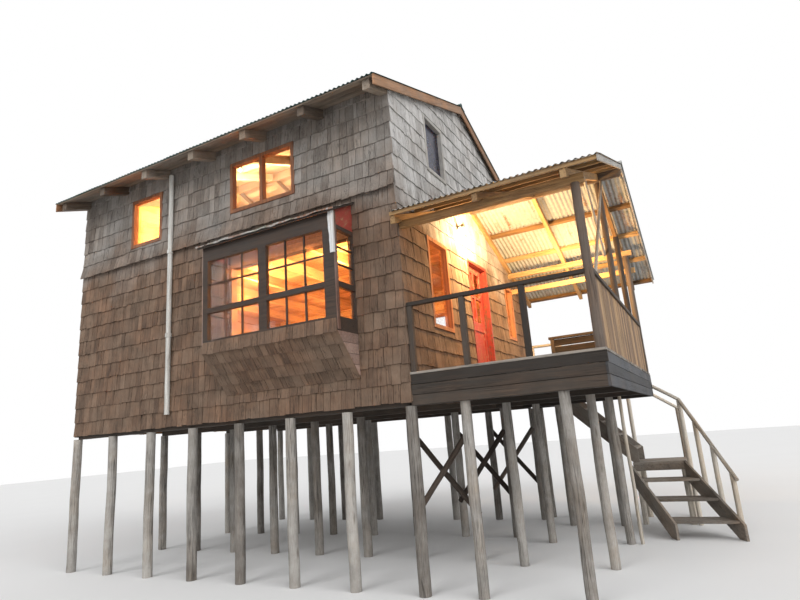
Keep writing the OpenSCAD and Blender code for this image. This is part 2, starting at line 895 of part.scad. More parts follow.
near_purlin_y = spaced(porch_near + purlin_back, porch_ridge[0] - purlin_ridge_gap, purlin_bays);
far_purlin_y = spaced(porch_ridge[0] + purlin_ridge_gap, porch_far - purlin_back, purlin_bays);

module porch_purlins() {
    x1 = porch_out - sheet_over - verge_board_t;
    color([0.58, 0.43, 0.28])
    for (y = concat(near_purlin_y, far_purlin_y))
        roof_bar(porch_ridge, 0, x1, y - purlin_w / 2, y + purlin_w / 2, -purlin_v, 0);
}

module porch_posts() {
    color([0.4, 0.32, 0.25]) {
        difference() {
            for (p = [near_post, far_post])
                translate([p[0], p[1], floor_z])
                    cylinder(h = (p[1] < house_wid / 2 ? near_beam_top : far_beam_top)
                        - beam_d - floor_z, r = corner_post_r, $fn = 48);
            hand_rails();
        }
        difference() {
            for (y = mid_post_y)
                translate([mid_post_x, y, floor_z])
                    cylinder(h = porch_ridge_rise, r = mid_post_r, $fn = 40);
            roof_bar(porch_ridge, mid_post_x - 2 * mid_post_r, mid_post_x + 2 * mid_post_r,
                porch_near, porch_ridge[0], porch_rafter_low - touch, porch_ridge_rise);
            roof_bar(porch_ridge, mid_post_x - 2 * mid_post_r, mid_post_x + 2 * mid_post_r,
                porch_ridge[0], porch_far, porch_rafter_low - touch, porch_ridge_rise);
        }
        long_brace();
        short_brace();
    }
}

// The slender braces run past their ends by this share of their length, and are cut there
brace_spare = 0.05;
long_brace_y = 520;
short_brace_rise = 1820;

// A slender brace outside the middle posts, from the outer hand rail up to the ridge board
module long_brace() {
    x = deck_out - post_back - rail_w + slim_r + touch;
    ridge_low = porch_ridge[1] - rise_ratio * ridge_board_w / 2 - porch_ridge_board_d;
    foot = [x, long_brace_y, rail_top];
    head = [x, porch_ridge[0], ridge_low];
    spare = (head - foot) * brace_spare;
    intersection() {
        log_between(foot - spare, head + spare, slim_r);
        block([x - 2 * slim_r, 0, rail_top], [x + 2 * slim_r, deck_wid, ridge_low - touch]);
    }
}

// A slender brace inside the first middle post, up to the purlin second from the ridge
module short_brace() {
    x = mid_post_x - mid_post_r - slim_r - touch;
    purlin_y = near_purlin_y[purlin_bays - 1];
    foot = [x, mid_post_y[0], floor_z + short_brace_rise];
    head = [x, purlin_y, line_z(porch_ridge, purlin_y) - purlin_v];
    difference() {
        log_between(foot, head + (head - foot) * brace_spare, slim_r);
        roof_bar(porch_ridge, x - 2 * slim_r, x + 2 * slim_r, porch_near, porch_ridge[0],
            -purlin_v - touch, porch_ridge_rise);
    }
}

// Heights of the bay's cross timbers, as [low, high] above the wall foot
bay_transom = [1560, 1640];

// Width of each half of the panes, and where each starts
bay_pane_w = (bay_w - bay_post - bay_mid_post - bay_porch_post) / 2;
bay_pane_x = [bay_x0 + bay_post, bay_x0 + bay_post + bay_pane_w + bay_mid_post];

// The front of the bay's timber frame, drawn in X and Z
module bay_front_outline() {
    difference() {
        translate([bay_x0, base_z + bay_skirt])
            square([bay_w, bay_eave - bay_skirt]);
        for (x0 = bay_pane_x) {
            translate([x0, base_z + bay_sill])
                square([bay_pane_w, bay_transom[0] - bay_sill]);
            translate([x0, base_z + bay_transom[1]])
                square([bay_pane_w, bay_head - bay_transom[1]]);
        }
    }
}

// Depth of the bay's timbers, and the widths of its side frames beside and above their panes
bay_frame_t = 70;
bay_side_rail = 60;
bay_side_stile = [20, 25];

// The side of the bay's timber frame, drawn in Y and Z
module bay_side_outline() {
    y0 = -bay_out + bay_frame_t;
    pane_w = -y0 - bay_side_stile[0] - bay_side_stile[1];
    difference() {
        translate([y0, base_z + bay_skirt]) square([-y0, bay_head + bay_side_rail - bay_skirt]);
        translate([y0 + bay_side_stile[0], base_z + bay_sill])
            square([pane_w, bay_transom[0] - bay_sill]);
        translate([y0 + bay_side_stile[0], base_z + bay_transom[1]])
            square([pane_w, bay_head - bay_transom[1]]);
    }
}

module bay_frame() {
    color([0.25, 0.17, 0.12]) {
        along_y(-bay_out, -bay_out + bay_frame_t) bay_front_outline();
        along_x(bay_x1 - bay_frame_t, bay_x1) bay_side_outline();
        along_x(bay_x0, bay_x0 + bay_frame_t) bay_side_outline();
    }
}

// The sloping underside of the bay, with its shingled face
module bay_base() {
    color([0.36, 0.3, 0.25]) {
        block([bay_x0 + bay_frame_t, -bay_out + bay_frame_t, base_z + bay_sill - bay_board],
            [bay_x1 - bay_frame_t, 0, base_z + bay_sill]);
        difference() {
            along_x(bay_x0, bay_x1) polygon([
                [-bay_out, base_z + bay_skirt],
                [0, base_z + bay_foot_rise],
                [0, base_z + bay_skirt]
            ]);
            along_x(bay_x0 + bay_board, bay_x1 - bay_board) polygon([
                [-bay_out + bay_frame_t, base_z + bay_skirt + eps],
                [-bay_out + bay_frame_t, base_z + bay_skirt],
                [-bay_board, base_z + bay_foot_rise + bay_board * 2],
                [-bay_board, base_z + bay_skirt + eps]
            ]);
        }
    }
}

bay_roof_t = 30;
bay_roof_over = 60;

// Height of the underside of the bay roof at the place y
function bay_roof_z(y) = base_z + bay_eave + bay_drop * (y + bay_out) / bay_out;

module bay_roof() {
    color([0.4, 0.38, 0.35])
    along_x(bay_x0 - bay_roof_over, bay_x1 + bay_roof_over) polygon([
        [-bay_out - bay_roof_over, bay_roof_z(-bay_out - bay_roof_over)],
        [0, bay_roof_z(0)],
        [0, bay_roof_z(0) + bay_roof_t],
        [-bay_out - bay_roof_over, bay_roof_z(-bay_out - bay_roof_over) + bay_roof_t]
    ]);
}

// Red boards over the side windows, up to the sloping roof
module bay_end_panels() {
    y0 = -bay_out + bay_frame_t;
    color([0.55, 0.12, 0.1])
    for (x = [bay_x0, bay_x1 - bay_board])
        along_x(x, x + bay_board) polygon([
            [y0, base_z + bay_head + bay_side_rail],
            [0, base_z + bay_head + bay_side_rail],
            [0, bay_roof_z(0)],
            [y0, bay_roof_z(y0)]
        ]);
}

// Depth of the bay's panes behind its outer faces
bay_front_glass = 35;
bay_side_glass = 30;

module bay_glass() {
    color([0.85, 0.8, 0.7, 0.35]) {
        for (x0 = bay_pane_x)
            for (z = [[bay_sill, bay_transom[0]], [bay_transom[1], bay_head]])
                block([x0, -bay_out + bay_front_glass, base_z + z[0]],
                    [x0 + bay_pane_w, -bay_out + bay_front_glass + glass_t, base_z + z[1]]);
        for (x = [bay_x0 + bay_side_glass, bay_x1 - bay_side_glass - glass_t])
            for (z = [[bay_sill, bay_transom[0]], [bay_transom[1], bay_head]])
                block([x, -bay_out + bay_frame_t + bay_side_stile[0], base_z + z[0]],
                    [x + glass_t, -bay_side_stile[1], base_z + z[1]]);
    }
}

module window_frames() {
    color([0.4, 0.2, 0.14]) {
        for (w = near_windows) in_side_wall(w, -frame_out, frame_depth) frame_outline(w);
        for (w = far_windows)
            in_side_wall(w, house_wid + frame_out - frame_depth, frame_depth)
                frame_outline(w);
        for (w = [porch_window, strip_window, gable_window])
            in_gable_wall(w, frame_out - frame_depth, frame_depth) frame_outline(w);
        for (w = rear_windows)
            in_gable_wall(w, -house_len - frame_out, frame_depth) frame_outline(w);
    }
}

module window_glass() {
    color([0.85, 0.8, 0.7, 0.35]) {
        for (w = near_windows) in_side_wall(w, glass_in, glass_t) pane_outline(w);
        for (w = far_windows)
            in_side_wall(w, house_wid - glass_in - glass_t, glass_t) pane_outline(w);
        for (w = [porch_window, strip_window, gable_window])
            in_gable_wall(w, -glass_in - glass_t, glass_t) pane_outline(w);
        for (w = rear_windows)
            in_gable_wall(w, -house_len + glass_in, glass_t) pane_outline(w);
    }
}

// Places of the door leaf, which stands at the inner face of the wall, and of its hinges
leaf_x0 = -wall_t;
leaf_y0 = door_y + door_frame_t + leaf_gap;
leaf_y1 = door_y + door_w - door_frame_t - leaf_gap;
leaf_z0 = floor_z + leaf_gap + 3;
leaf_z1 = door_head - door_frame_t - leaf_gap;
hinge_r = 11;
hinge_pin_r = 5;
hinge_h = 70;
hinge_pin = [leaf_x0 - hinge_r - 2, leaf_y1 + leaf_gap / 2];
hinge_z = [leaf_z0 + 200, (leaf_z0 + leaf_z1) / 2, leaf_z1 - 270];
door_stile = 110;
door_foot_rail = 200;
door_lock_rail = [900, 1060];
door_mullion = 40;
door_panel_t = 16;
handle_z = leaf_z0 + 980;
handle_y = leaf_y0 + door_stile / 2;
spindle_r = 9;
rose_r = 26;
rose_t = 10;
lever = [115, 18, 16];

module door_frame() {
    color([0.55, 0.1, 0.08]) {
        difference() {
            block([-wall_t, door_y, floor_z], [frame_out, door_y + door_w, door_head]);
            block([-wall_t - eps, door_y + door_frame_t, floor_z - eps],
                [frame_out + eps, door_y + door_w - door_frame_t,
                    door_head - door_frame_t]);
        }
        for (z = hinge_z) {
            translate([hinge_pin[0], hinge_pin[1], z])
                cylinder(h = hinge_h / 2, r = hinge_r, $fn = 32);
            translate([hinge_pin[0], hinge_pin[1], z + hinge_h / 2])
                cylinder(h = hinge_h / 2 - 3, r = hinge_pin_r, $fn = 32);
            block([hinge_pin[0], hinge_pin[1], z],
                [leaf_x0 + 4, hinge_pin[1] + 4, z + hinge_h / 2]);
            block([leaf_x0 - 3, hinge_pin[1], z],
                [leaf_x0, leaf_y1 + leaf_gap + 30, z + hinge_h / 2]);
        }
    }
}

// The leaf's outline, drawn in Y and Z, without its lights and panel
module leaf_outline() {
    w = leaf_y1 - leaf_y0;
    h = leaf_z1 - leaf_z0;
    translate([leaf_y0, leaf_z0]) square([w, h]);
}

// The lights of the leaf, each by its lowest corner [y, z]
light_w = (leaf_y1 - leaf_y0 - 2 * door_stile - door_mullion) / 2;
light_z = [leaf_z0 + door_lock_rail[1], leaf_z1 - door_stile];
light_h = (light_z[1] - light_z[0] - door_mullion) / 2;
lights = [for (i = [0, 1]) for (j = [0, 1])
    [leaf_y0 + door_stile + i * (light_w + door_mullion),
        light_z[0] + j * (light_h + door_mullion)]];

module door_leaf() {
    color([0.6, 0.1, 0.08]) {
        difference() {
            along_x(leaf_x0, leaf_x0 + leaf_t) leaf_outline();
            for (l = lights)
                block([leaf_x0 - eps, l[0], l[1]],
                    [leaf_x0 + leaf_t + eps, l[0] + light_w, l[1] + light_h]);
            for (x = [leaf_x0 - eps, leaf_x0 + leaf_t - (leaf_t - door_panel_t) / 2])
                block([x, leaf_y0 + door_stile, leaf_z0 + door_foot_rail],
                    [x + (leaf_t - door_panel_t) / 2 + eps, leaf_y1 - door_stile,
                        leaf_z0 + door_lock_rail[0]]);
            translate([leaf_x0 - eps, handle_y, handle_z]) rotate([0, 90, 0])
                cylinder(h = leaf_t + 2 * eps, r = spindle_r, $fn = 24);
        }
        for (z = hinge_z)
            difference() {
                union() {
                    translate([hinge_pin[0], hinge_pin[1], z + hinge_h / 2 + touch])
                        cylinder(h = hinge_h / 2, r = hinge_r, $fn = 32);
                    block([hinge_pin[0], hinge_pin[1] - 4, z + hinge_h / 2 + touch],
                        [leaf_x0, hinge_pin[1], z + hinge_h + touch]);
                    block([leaf_x0 - 3, leaf_y1 - 40, z + hinge_h / 2 + touch],
                        [leaf_x0 + eps, hinge_pin[1], z + hinge_h + touch]);
                }
                translate([hinge_pin[0], hinge_pin[1], z])
                    cylinder(h = hinge_h * 2, r = hinge_pin_r + pin_gap, $fn = 32);
            }
    }
}

module door_glass() {
    color([0.85, 0.8, 0.7, 0.35])
    for (l = lights)
        block([leaf_x0 + leaf_t / 2 - glass_t / 2, l[0], l[1]],
            [leaf_x0 + leaf_t / 2 + glass_t / 2, l[0] + light_w, l[1] + light_h]);
}

module door_handle() {
    lever_out = 37;
    color([0.7, 0.6, 0.4]) {
        translate([leaf_x0 - lever_out - eps, handle_y, handle_z]) rotate([0, 90, 0])
            cylinder(h = leaf_t + 2 * (lever_out + eps), r = spindle_r - touch, $fn = 24);
        for (x = [leaf_x0 - rose_t, leaf_x0 + leaf_t])
            translate([x, handle_y, handle_z]) rotate([0, 90, 0])
                cylinder(h = rose_t, r = rose_r, $fn = 32);
        for (x = [leaf_x0 - lever_out - lever[1], leaf_x0 + leaf_t + lever_out])
            block([x, handle_y - spindle_r, handle_z - lever[2] / 2],
                [x + lever[1], handle_y + lever[0], handle_z + lever[2] / 2]);
    }
}

// The upper flight's stringer, drawn in X and Z
module upper_stringer_outline() {
    ratio = upper_rise_h / upper_going;
    x_low = platform_out + (floor_z - stringer_v - landing_z) / ratio;
    x_end = x_low + 100;
    polygon([
        [platform_out, floor_z - stringer_v],
        [x_low, landing_z],
        [x_end, landing_z],
        [x_end, floor_z - (x_end - platform_out) * ratio],
        [platform_out, floor_z]
    ]);
}

// The lower flight's stringer, drawn along its run and in Z
module lower_stringer_outline() {
    going = lower_going / cos(lower_skew);
    ratio = lower_rise_h / going;
    s_low = (landing_z - 5 - lower_stringer_v) / ratio;
    s_end = (lower_risers - 1) * going + 60;
    top = landing_z - 5;
    s_start = -stringer_t * tan(lower_skew);
    polygon([
        [s_start, top - lower_stringer_v - s_start * ratio],
        [s_low, 0],
        [s_end, 0],
        [s_end, top - s_end * ratio],
        [0, top],
        [s_start, top]
    ]);
}

// Places across the lower flight: a point on its left or right edge at the depth y
function lower_x(x, y) = x + (landing_y0 - y) * tan(lower_skew);
skew_t = stringer_t / cos(lower_skew);
lower_left = landing_x1 - stair_w - 2 * skew_t;

// A lower stringer, a plank that leans outward in plan, with its left edge at x
module lower_stringer(x) {
    difference() {
        translate([x, landing_y0, 0])
            rotate([0, 0, lower_skew - 90])
                rotate([90, 0, 0])
                    linear_extrude(stringer_t) lower_stringer_outline();
        block([lower_left - 500, landing_y0, -eps], [landing_x1 + 500, landing_y1, landing_z]);
    }
}

module stair_stringers() {
    color([0.36, 0.29, 0.22]) {
        along_y(stair_y0, stair_y0 + stringer_t) upper_stringer_outline();
        along_y(stair_y1 - stringer_t, stair_y1) upper_stringer_outline();
        lower_stringer(lower_left + skew_t);
        lower_stringer(landing_x1);
        for (y = [landing_y0, landing_y1 - landing_beam[0]])
            block([landing_x0, y, landing_z - tread_t - landing_beam[1]],
                [landing_x1, y + landing_beam[0], landing_z - tread_t]);
    }
}

module stair_treads() {
    color([0.45, 0.38, 0.3]) {
        for (i = [1:upper_risers - 1])
            block([platform_out + (i - 1) * upper_going, stair_y0 + stringer_t,
                    floor_z - i * upper_rise_h - tread_t],
                [platform_out + i * upper_going, stair_y1 - stringer_t,
                    floor_z - i * upper_rise_h]);
        block([landing_x0, landing_y0, landing_z - tread_t],
            [landing_x1, landing_y1, landing_z]);
        for (i = [1:lower_risers - 1]) {
            y1 = landing_y0 - (i - 1) * lower_going - 15;
            y0 = landing_y0 - i * lower_going;
            z = landing_z - i * lower_rise_h;
            translate([0, 0, z - tread_t]) linear_extrude(tread_t) polygon([
                [lower_x(lower_left + skew_t + touch, y0), y0],
                [lower_x(landing_x1 - skew_t - touch, y0), y0],
                [lower_x(landing_x1 - skew_t - touch, y1), y1],
                [lower_x(lower_left + skew_t + touch, y1), y1]
            ]);
        }
    }
}

// Places of the rail posts, on the outer side of the lower flight
stair_post_r = 40;
lower_run = (lower_risers - 1) * lower_going;
newel_y = landing_y0 - lower_run + 140;
first_post_in = 15;
rail_start_z = landing_z + 1050;
rail_foot_z = 930;
lower_post_y = [for (i = [0:lower_risers - 1])
    landing_y0 - first_post_in
        + (newel_y - landing_y0 + first_post_in) * i / (lower_risers - 1)];

// The middle of a post that stands against the outer stringer at the depth y
function post_at(y) = [lower_x(landing_x1, y) + stair_post_r / cos(lower_skew), y];

// Height of the lower hand rail at the depth y
function rail_line(y) = rail_start_z
    + (rail_foot_z - rail_start_z) * (lower_post_y[0] - y) / (lower_post_y[0] - newel_y);

// A point on the lower hand rail
function rail_point(y) = [post_at(y)[0], y, rail_line(y)];

// Points of the hand rail on the far side of the platform and the upper flight
far_rail_y = stair_y1 + stair_post_r;
far_rail_points = [
    [0, far_rail_y, floor_z + rail_h],
    [platform_out - stair_post_r, far_rail_y, floor_z + rail_h],
    [landing_x1 - stair_post_r, far_rail_y, landing_z + rail_h]
];
far_post_share = 0.58;
far_post_x = [stair_post_r, platform_out - stair_post_r,
    platform_out + (landing_x1 - platform_out) * far_post_share, landing_x1 - stair_post_r];

// Height of the far hand rail at the place x
function far_rail_z(x) = x < platform_out
    ? floor_z + rail_h
    : far_rail_points[1][2] + (far_rail_points[2][2] - far_rail_points[1][2])
        * (x - far_rail_points[1][0]) / (far_rail_points[2][0] - far_rail_points[1][0]);

// The first hand rail passes close by the far corner of the deck and ends just behind it
rail_start = rail_point(lower_post_y[0]);
deck_corner_way = [deck_out - rail_start[0], deck_wid - rail_start[1]];
deck_corner_turn = asin((stair_rail_r + touch) / norm(deck_corner_way));
deck_end_angle = atan2(deck_corner_way[1], deck_corner_way[0]) - deck_corner_turn;
deck_end_way = norm(deck_corner_way) + 30;
deck_end = [rail_start[0] + deck_end_way * cos(deck_end_angle),
    rail_start[1] + deck_end_way * sin(deck_end_angle), base_z + 150];

module stair_rail_set() {
    log_between(deck_end, rail_start, stair_rail_r);
    log_between(rail_point(lower_post_y[0] + 40), rail_point(newel_y - 90), stair_rail_r);
    log_between(far_rail_points[0], far_rail_points[1] + [60, 0, 0], stair_rail_r);
    log_between(far_rail_points[1] - [0, 0, 12], far_rail_points[2] + [70, 0, -40],
        stair_rail_r - 1);
}

module stair_posts() {
    landing_post_r = 50;
    inset = landing_post_r + 5;
    color([0.42, 0.35, 0.28]) {
        for (x = [landing_x0 + inset, landing_x1 - inset])
            for (y = [landing_y0 + inset, landing_y1 - inset])
                translate([x, y, 0])
                    cylinder(h = landing_z - tread_t - landing_beam[1],
                        r = landing_post_r, $fn = 32);
        difference() {
            union() {
                for (i = [0:lower_risers - 1]) {
                    y = lower_post_y[i];
                    grounded = i == 0 || i == lower_risers - 1;
                    foot = grounded ? 0 : landing_z - (i + 1) * lower_rise_h - tread_t;
                    translate([post_at(y)[0], y, foot])
                        cylinder(h = rail_line(y) - foot, r = stair_post_r, $fn = 32);
                }
                for (x = far_post_x)
                    translate([x, far_rail_y, 0])
                        cylinder(h = far_rail_z(x), r = stair_post_r, $fn = 32);
            }
            stair_rail_set();
        }
    }
}

module stair_rails() {
    color([0.6, 0.48, 0.34]) stair_rail_set();
}

// A pale pipe up the near wall, held by straps
pipe_x = -4380;
pipe_r = 40;
pipe_off = 20;
pipe_low = 200;
pipe_top_gap = 160;
pipe_strap_rise = [1500, 2970];
strap_t = 4;
strap_w = 140;
strap_h = 30;

module downpipe() {
    color([0.6, 0.6, 0.58]) {
        translate([pipe_x, -pipe_off - pipe_r, base_z + pipe_low])
            cylinder(h = eave_rise - pipe_top_gap - pipe_low, r = pipe_r, $fn = 40);
        for (rise = pipe_strap_rise) {
            translate([pipe_x, -pipe_off - pipe_r, base_z + rise])
                cylinder(h = strap_h, r = pipe_r + strap_t, $fn = 40);
            block([pipe_x - strap_w / 2, -strap_t, base_z + rise],
                [pipe_x + strap_w / 2, 0, base_z + rise + strap_h]);
            block([pipe_x - strap_h / 2, -pipe_off - pipe_r / 4, base_z + rise],
                [pipe_x + strap_h / 2, 0, base_z + rise + strap_h]);
        }
    }
}

near_wall();
far_wall();
rear_wall();
gable_wall_near();
gable_wall_far();
gable_wall_upper();
gable_skirt();
floor_joists();
ground_floor();
upper_joists();
upper_floor();
roof_rafters();
ridge_boards();
roof_boards();
main_roof_near();
main_roof_far();
ridge_caps();
verge_boards();
bearers();
house_stilts();
deck_stilts();
stilt_braces();
deck_floor();
deck_rim_boards();
rail_posts();
hand_rails();
outer_rail_boards();
far_rail_boards();
porch_posts();
porch_beams();
porch_rafters();
porch_purlins();
porch_roof_near();
porch_roof_far();
bay_frame();
bay_base();
bay_roof();
bay_end_panels();
bay_glass();
window_frames();
window_glass();
door_frame();
door_leaf();
door_glass();
door_handle();
stair_stringers();
stair_treads();
stair_posts();
stair_rails();
downpipe();
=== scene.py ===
"""Stilt house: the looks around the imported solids. It runs inside Blender 4.5, in metres."""
from __future__ import annotations
import logging
import math
from collections.abc import Callable
from dataclasses import dataclass, field
from enum import Enum
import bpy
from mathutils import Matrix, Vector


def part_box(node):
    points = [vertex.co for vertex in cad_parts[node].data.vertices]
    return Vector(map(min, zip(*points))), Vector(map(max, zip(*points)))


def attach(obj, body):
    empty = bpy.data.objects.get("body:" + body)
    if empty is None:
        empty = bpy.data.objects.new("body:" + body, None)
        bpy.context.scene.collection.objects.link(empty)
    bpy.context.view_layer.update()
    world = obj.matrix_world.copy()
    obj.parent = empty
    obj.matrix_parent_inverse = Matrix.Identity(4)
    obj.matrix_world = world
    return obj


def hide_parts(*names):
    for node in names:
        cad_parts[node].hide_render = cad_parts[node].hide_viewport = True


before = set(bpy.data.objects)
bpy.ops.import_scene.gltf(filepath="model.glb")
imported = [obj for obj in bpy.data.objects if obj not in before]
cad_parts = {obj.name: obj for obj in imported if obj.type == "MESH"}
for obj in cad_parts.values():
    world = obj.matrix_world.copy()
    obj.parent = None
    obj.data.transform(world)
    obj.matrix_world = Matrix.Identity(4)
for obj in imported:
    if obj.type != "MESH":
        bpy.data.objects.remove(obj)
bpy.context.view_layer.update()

from types import SimpleNamespace

import bmesh
import bpy
import numpy as np
from bpy.types import ID, Material, Mesh, Node, NodeSocket, NodeTree, Object
from mathutils import Matrix, Vector, noise

log = logging.getLogger("stilt_house")

Colour = tuple[float, float, float]
Point = tuple[float, float, float]
Route = tuple[Point, ...]

HOUSE = "house"
DOOR = "door"
VECTOR = "FLOAT_VECTOR"
UPRIGHT = np.array([[0, 0, 1], [1, 0, 0], [0, 1, 0]], float)
DECK_TOP = 2.62
SKIRT_TOP = 5.19
ROOF_PITCH = math.radians(20.3)
NOISE_SEED = 7


# Node trees

class Tree:
    """Adds nodes and links to one node tree, of a material or of Geometry Nodes."""

    def __init__(self, tree: NodeTree) -> None:
        """Keeps the tree that the nodes go to."""
        self.tree = tree

    def node(self, kind: str, inputs: dict | None = None, **settings: object) -> Node:
        """Adds one node.

        Args:
            kind: the node's type.
            inputs: a value or a socket for each input, by its name or index.
            settings: the node's own settings.

        Returns:
            The new node.
        """
        made = self.tree.nodes.new(kind)
        for key, value in settings.items():
            setattr(made, key, value)
        for key, value in (inputs or {}).items():
            self.feed(made.inputs[key], value)
        return made

    def feed(self, socket: NodeSocket, value: object) -> None:
        """Links a socket to an input, or sets the input's own value."""
        if isinstance(value, NodeSocket):
            self.tree.links.new(value, socket)
        else:
            socket.default_value = value

    def first(self, kind: str, inputs: dict | None = None, **settings: object) -> NodeSocket:
        """Adds one node and returns its first output."""
        return self.node(kind, inputs, **settings).outputs[0]

    def geo(self, kind: str, inputs: dict | None = None, **settings: object) -> NodeSocket:
        """Adds one node of Geometry Nodes and returns its first output."""
        return self.first("GeometryNode" + kind, inputs, **settings)

    def put(self, end: Node, **values: object) -> NodeTree:
        """Feeds a group's outputs by name and returns the finished tree."""
        for label, value in values.items():
            self.feed(end.inputs[label], value)
        return self.tree

    def real(self, geometry: object) -> NodeSocket:
        """Makes instances real geometry."""
        return self.geo("RealizeInstances", {0: geometry})

    def finished(self, end: Node, geometry: object, finish: object) -> NodeTree:
        """Gives the geometry its material, puts it out and returns the finished tree."""
        self.feed(end.inputs[0], self.geo("SetMaterial", {0: geometry, "Material": finish}))
        return self.tree

    def math(self, operation: str, *values: object) -> NodeSocket:
        """Adds a Math node and returns its result."""
        return self.first("ShaderNodeMath", dict(enumerate(values)), operation=operation)

    def mul(self, one: object, other: object) -> NodeSocket:
        """Returns the product of two numbers."""
        return self.math("MULTIPLY", one, other)

    def add(self, one: object, other: object) -> NodeSocket:
        """Returns the sum of two numbers."""
        return self.math("ADD", one, other)

    def sub(self, one: object, other: object) -> NodeSocket:
        """Returns the first number less the second."""
        return self.math("SUBTRACT", one, other)

    def vmul(self, one: object, other: object) -> NodeSocket:
        """Returns two vectors multiplied part by part."""
        return self.first("ShaderNodeVectorMath", {0: one, 1: other}, operation="MULTIPLY")

    def vadd(self, one: object, other: object) -> NodeSocket:
        """Returns the sum of two vectors."""
        return self.first("ShaderNodeVectorMath", {0: one, 1: other})

    def centred(self, colour: object) -> NodeSocket:
        """Returns a noise's three parts as a vector about zero."""
        return self.vadd(colour, (-0.5, -0.5, -0.5))

    def scaled(self, vector: object, factor: object) -> NodeSocket:
        """Returns a vector times a number."""
        return self.first("ShaderNodeVectorMath", {0: vector, 3: factor}, operation="SCALE")

    def vector(self, x: object = 0.0, y: object = 0.0, z: object = 0.0) -> NodeSocket:
        """Returns a vector made of three numbers."""
        return self.first("ShaderNodeCombineXYZ", {0: x, 1: y, 2: z})

    def split(self, vector: object) -> list[NodeSocket]:
        """Returns the three numbers of a vector."""
        return list(self.node("ShaderNodeSeparateXYZ", {0: vector}).outputs)

    def noise(self, vector: object, scale: float, detail: float = 2.0, rough: float = 0.5,
              colour: bool = False) -> NodeSocket:
        """Adds a noise texture.

        Args:
            vector: where it is read.
            scale: its fineness.
            detail: its octaves.
            rough: how strong the fine octaves are.
            colour: whether its three-part output is wanted.

        Returns:
            The noise, about 0.5 in the mean.
        """
        made = self.node("ShaderNodeTexNoise", {0: vector, 2: scale, 3: detail, 4: rough})
        return made.outputs[1 if colour else 0]

    def cells(self, vector: object, scale: float) -> NodeSocket:
        """Returns the distance to the nearest of scattered points."""
        return self.first("ShaderNodeTexVoronoi", {0: vector, 2: scale})

    def ramp(self, value: object, low: object, high: object, start: object = 0.0,
             end: object = 1.0) -> NodeSocket:
        """Returns value moved from low..high to start..end, and kept within it."""
        return self.first("ShaderNodeMapRange", {0: value, 1: low, 2: high, 3: start, 4: end},
                          clamp=True)

    def blend(self, factor: object, first: object, second: object, mode: str = "MIX") -> NodeSocket:
        """Returns a colour between two colours."""
        return self.node("ShaderNodeMix", {0: factor, 6: first, 7: second}, data_type="RGBA",
                         blend_type=mode).outputs[2]

    def between(self, factor: object, first: object, second: object) -> NodeSocket:
        """Returns a number between two numbers."""
        return self.first("ShaderNodeMix", {0: factor, 2: first, 3: second})

    def attribute(self, name: str, kind: str = "FLOAT") -> NodeSocket:
        """Returns a named attribute inside Geometry Nodes."""
        return self.geo("InputNamedAttribute", {0: name}, data_type=kind)

    def store(self, geometry: object, name: str, value: object, kind: str = "FLOAT",
              domain: str = "POINT") -> NodeSocket:
        """Stores a named attribute inside Geometry Nodes and returns the geometry."""
        return self.geo("StoreNamedAttribute", {"Geometry": geometry, "Name": name, "Value": value},
                        data_type=kind, domain=domain)

    def chance(self, low: object, high: object, key: object, seed: object) -> NodeSocket:
        """Returns a random number between two numbers inside Geometry Nodes."""
        return self.node("FunctionNodeRandomValue", {2: low, 3: high, 7: key, 8: seed},
                         data_type="FLOAT").outputs[1]

    def chance3(self, size: Point, key: object, seed: object) -> NodeSocket:
        """Returns a random vector of up to this size each way inside Geometry Nodes."""
        return self.first("FunctionNodeRandomValue",
                          {0: tuple(-v for v in size), 1: size, 7: key, 8: seed}, data_type=VECTOR)

    def move(self, geometry: object, offset: object) -> NodeSocket:
        """Adds a Set Position node with an offset."""
        return self.geo("SetPosition", {"Geometry": geometry, "Offset": offset})

    def place(self, geometry: object, position: object) -> NodeSocket:
        """Adds a Set Position node with a position."""
        return self.geo("SetPosition", {"Geometry": geometry, "Position": position})

    @property
    def position(self) -> NodeSocket:
        """The position field of Geometry Nodes."""
        return self.geo("InputPosition")

    @property
    def index(self) -> NodeSocket:
        """The index field of Geometry Nodes."""
        return self.geo("InputIndex")


SOCKETS = {float: "NodeSocketFloat", int: "NodeSocketInt",
           tuple: "NodeSocketVector", "colour": "NodeSocketColor", "geometry": "NodeSocketGeometry",
           "material": "NodeSocketMaterial"}


def new_group(name: str, kind: str, inputs: dict[str, object],
              outputs: dict[str, object]) -> tuple[Tree, SimpleNamespace, Node]:
    """Starts a node group with named inputs and outputs.

    Args:
        name: the group's name.
        kind: GeometryNodeTree or ShaderNodeTree.
        inputs: for each input a default number or vector, or the words colour, geometry, material.
        outputs: for each output float, tuple, or one of these words.

    Returns:
        The tree, its inputs by their names in small letters, and the output node.
    """
    tree = bpy.data.node_groups.new(name, kind)
    for label, value in inputs.items():
        key = value if isinstance(value, str) else type(value)
        made = tree.interface.new_socket(name=label, in_out="INPUT", socket_type=SOCKETS[key])
        if not isinstance(value, str):
            made.default_value = value
    for label, key in outputs.items():
        tree.interface.new_socket(name=label, in_out="OUTPUT", socket_type=SOCKETS[key])
    start = tree.nodes.new("NodeGroupInput")
    end = tree.nodes.new("NodeGroupOutput")
    named = {s.name.lower().replace(" ", "_"): s for s in start.outputs if s.name}
    return Tree(tree), SimpleNamespace(**named), end


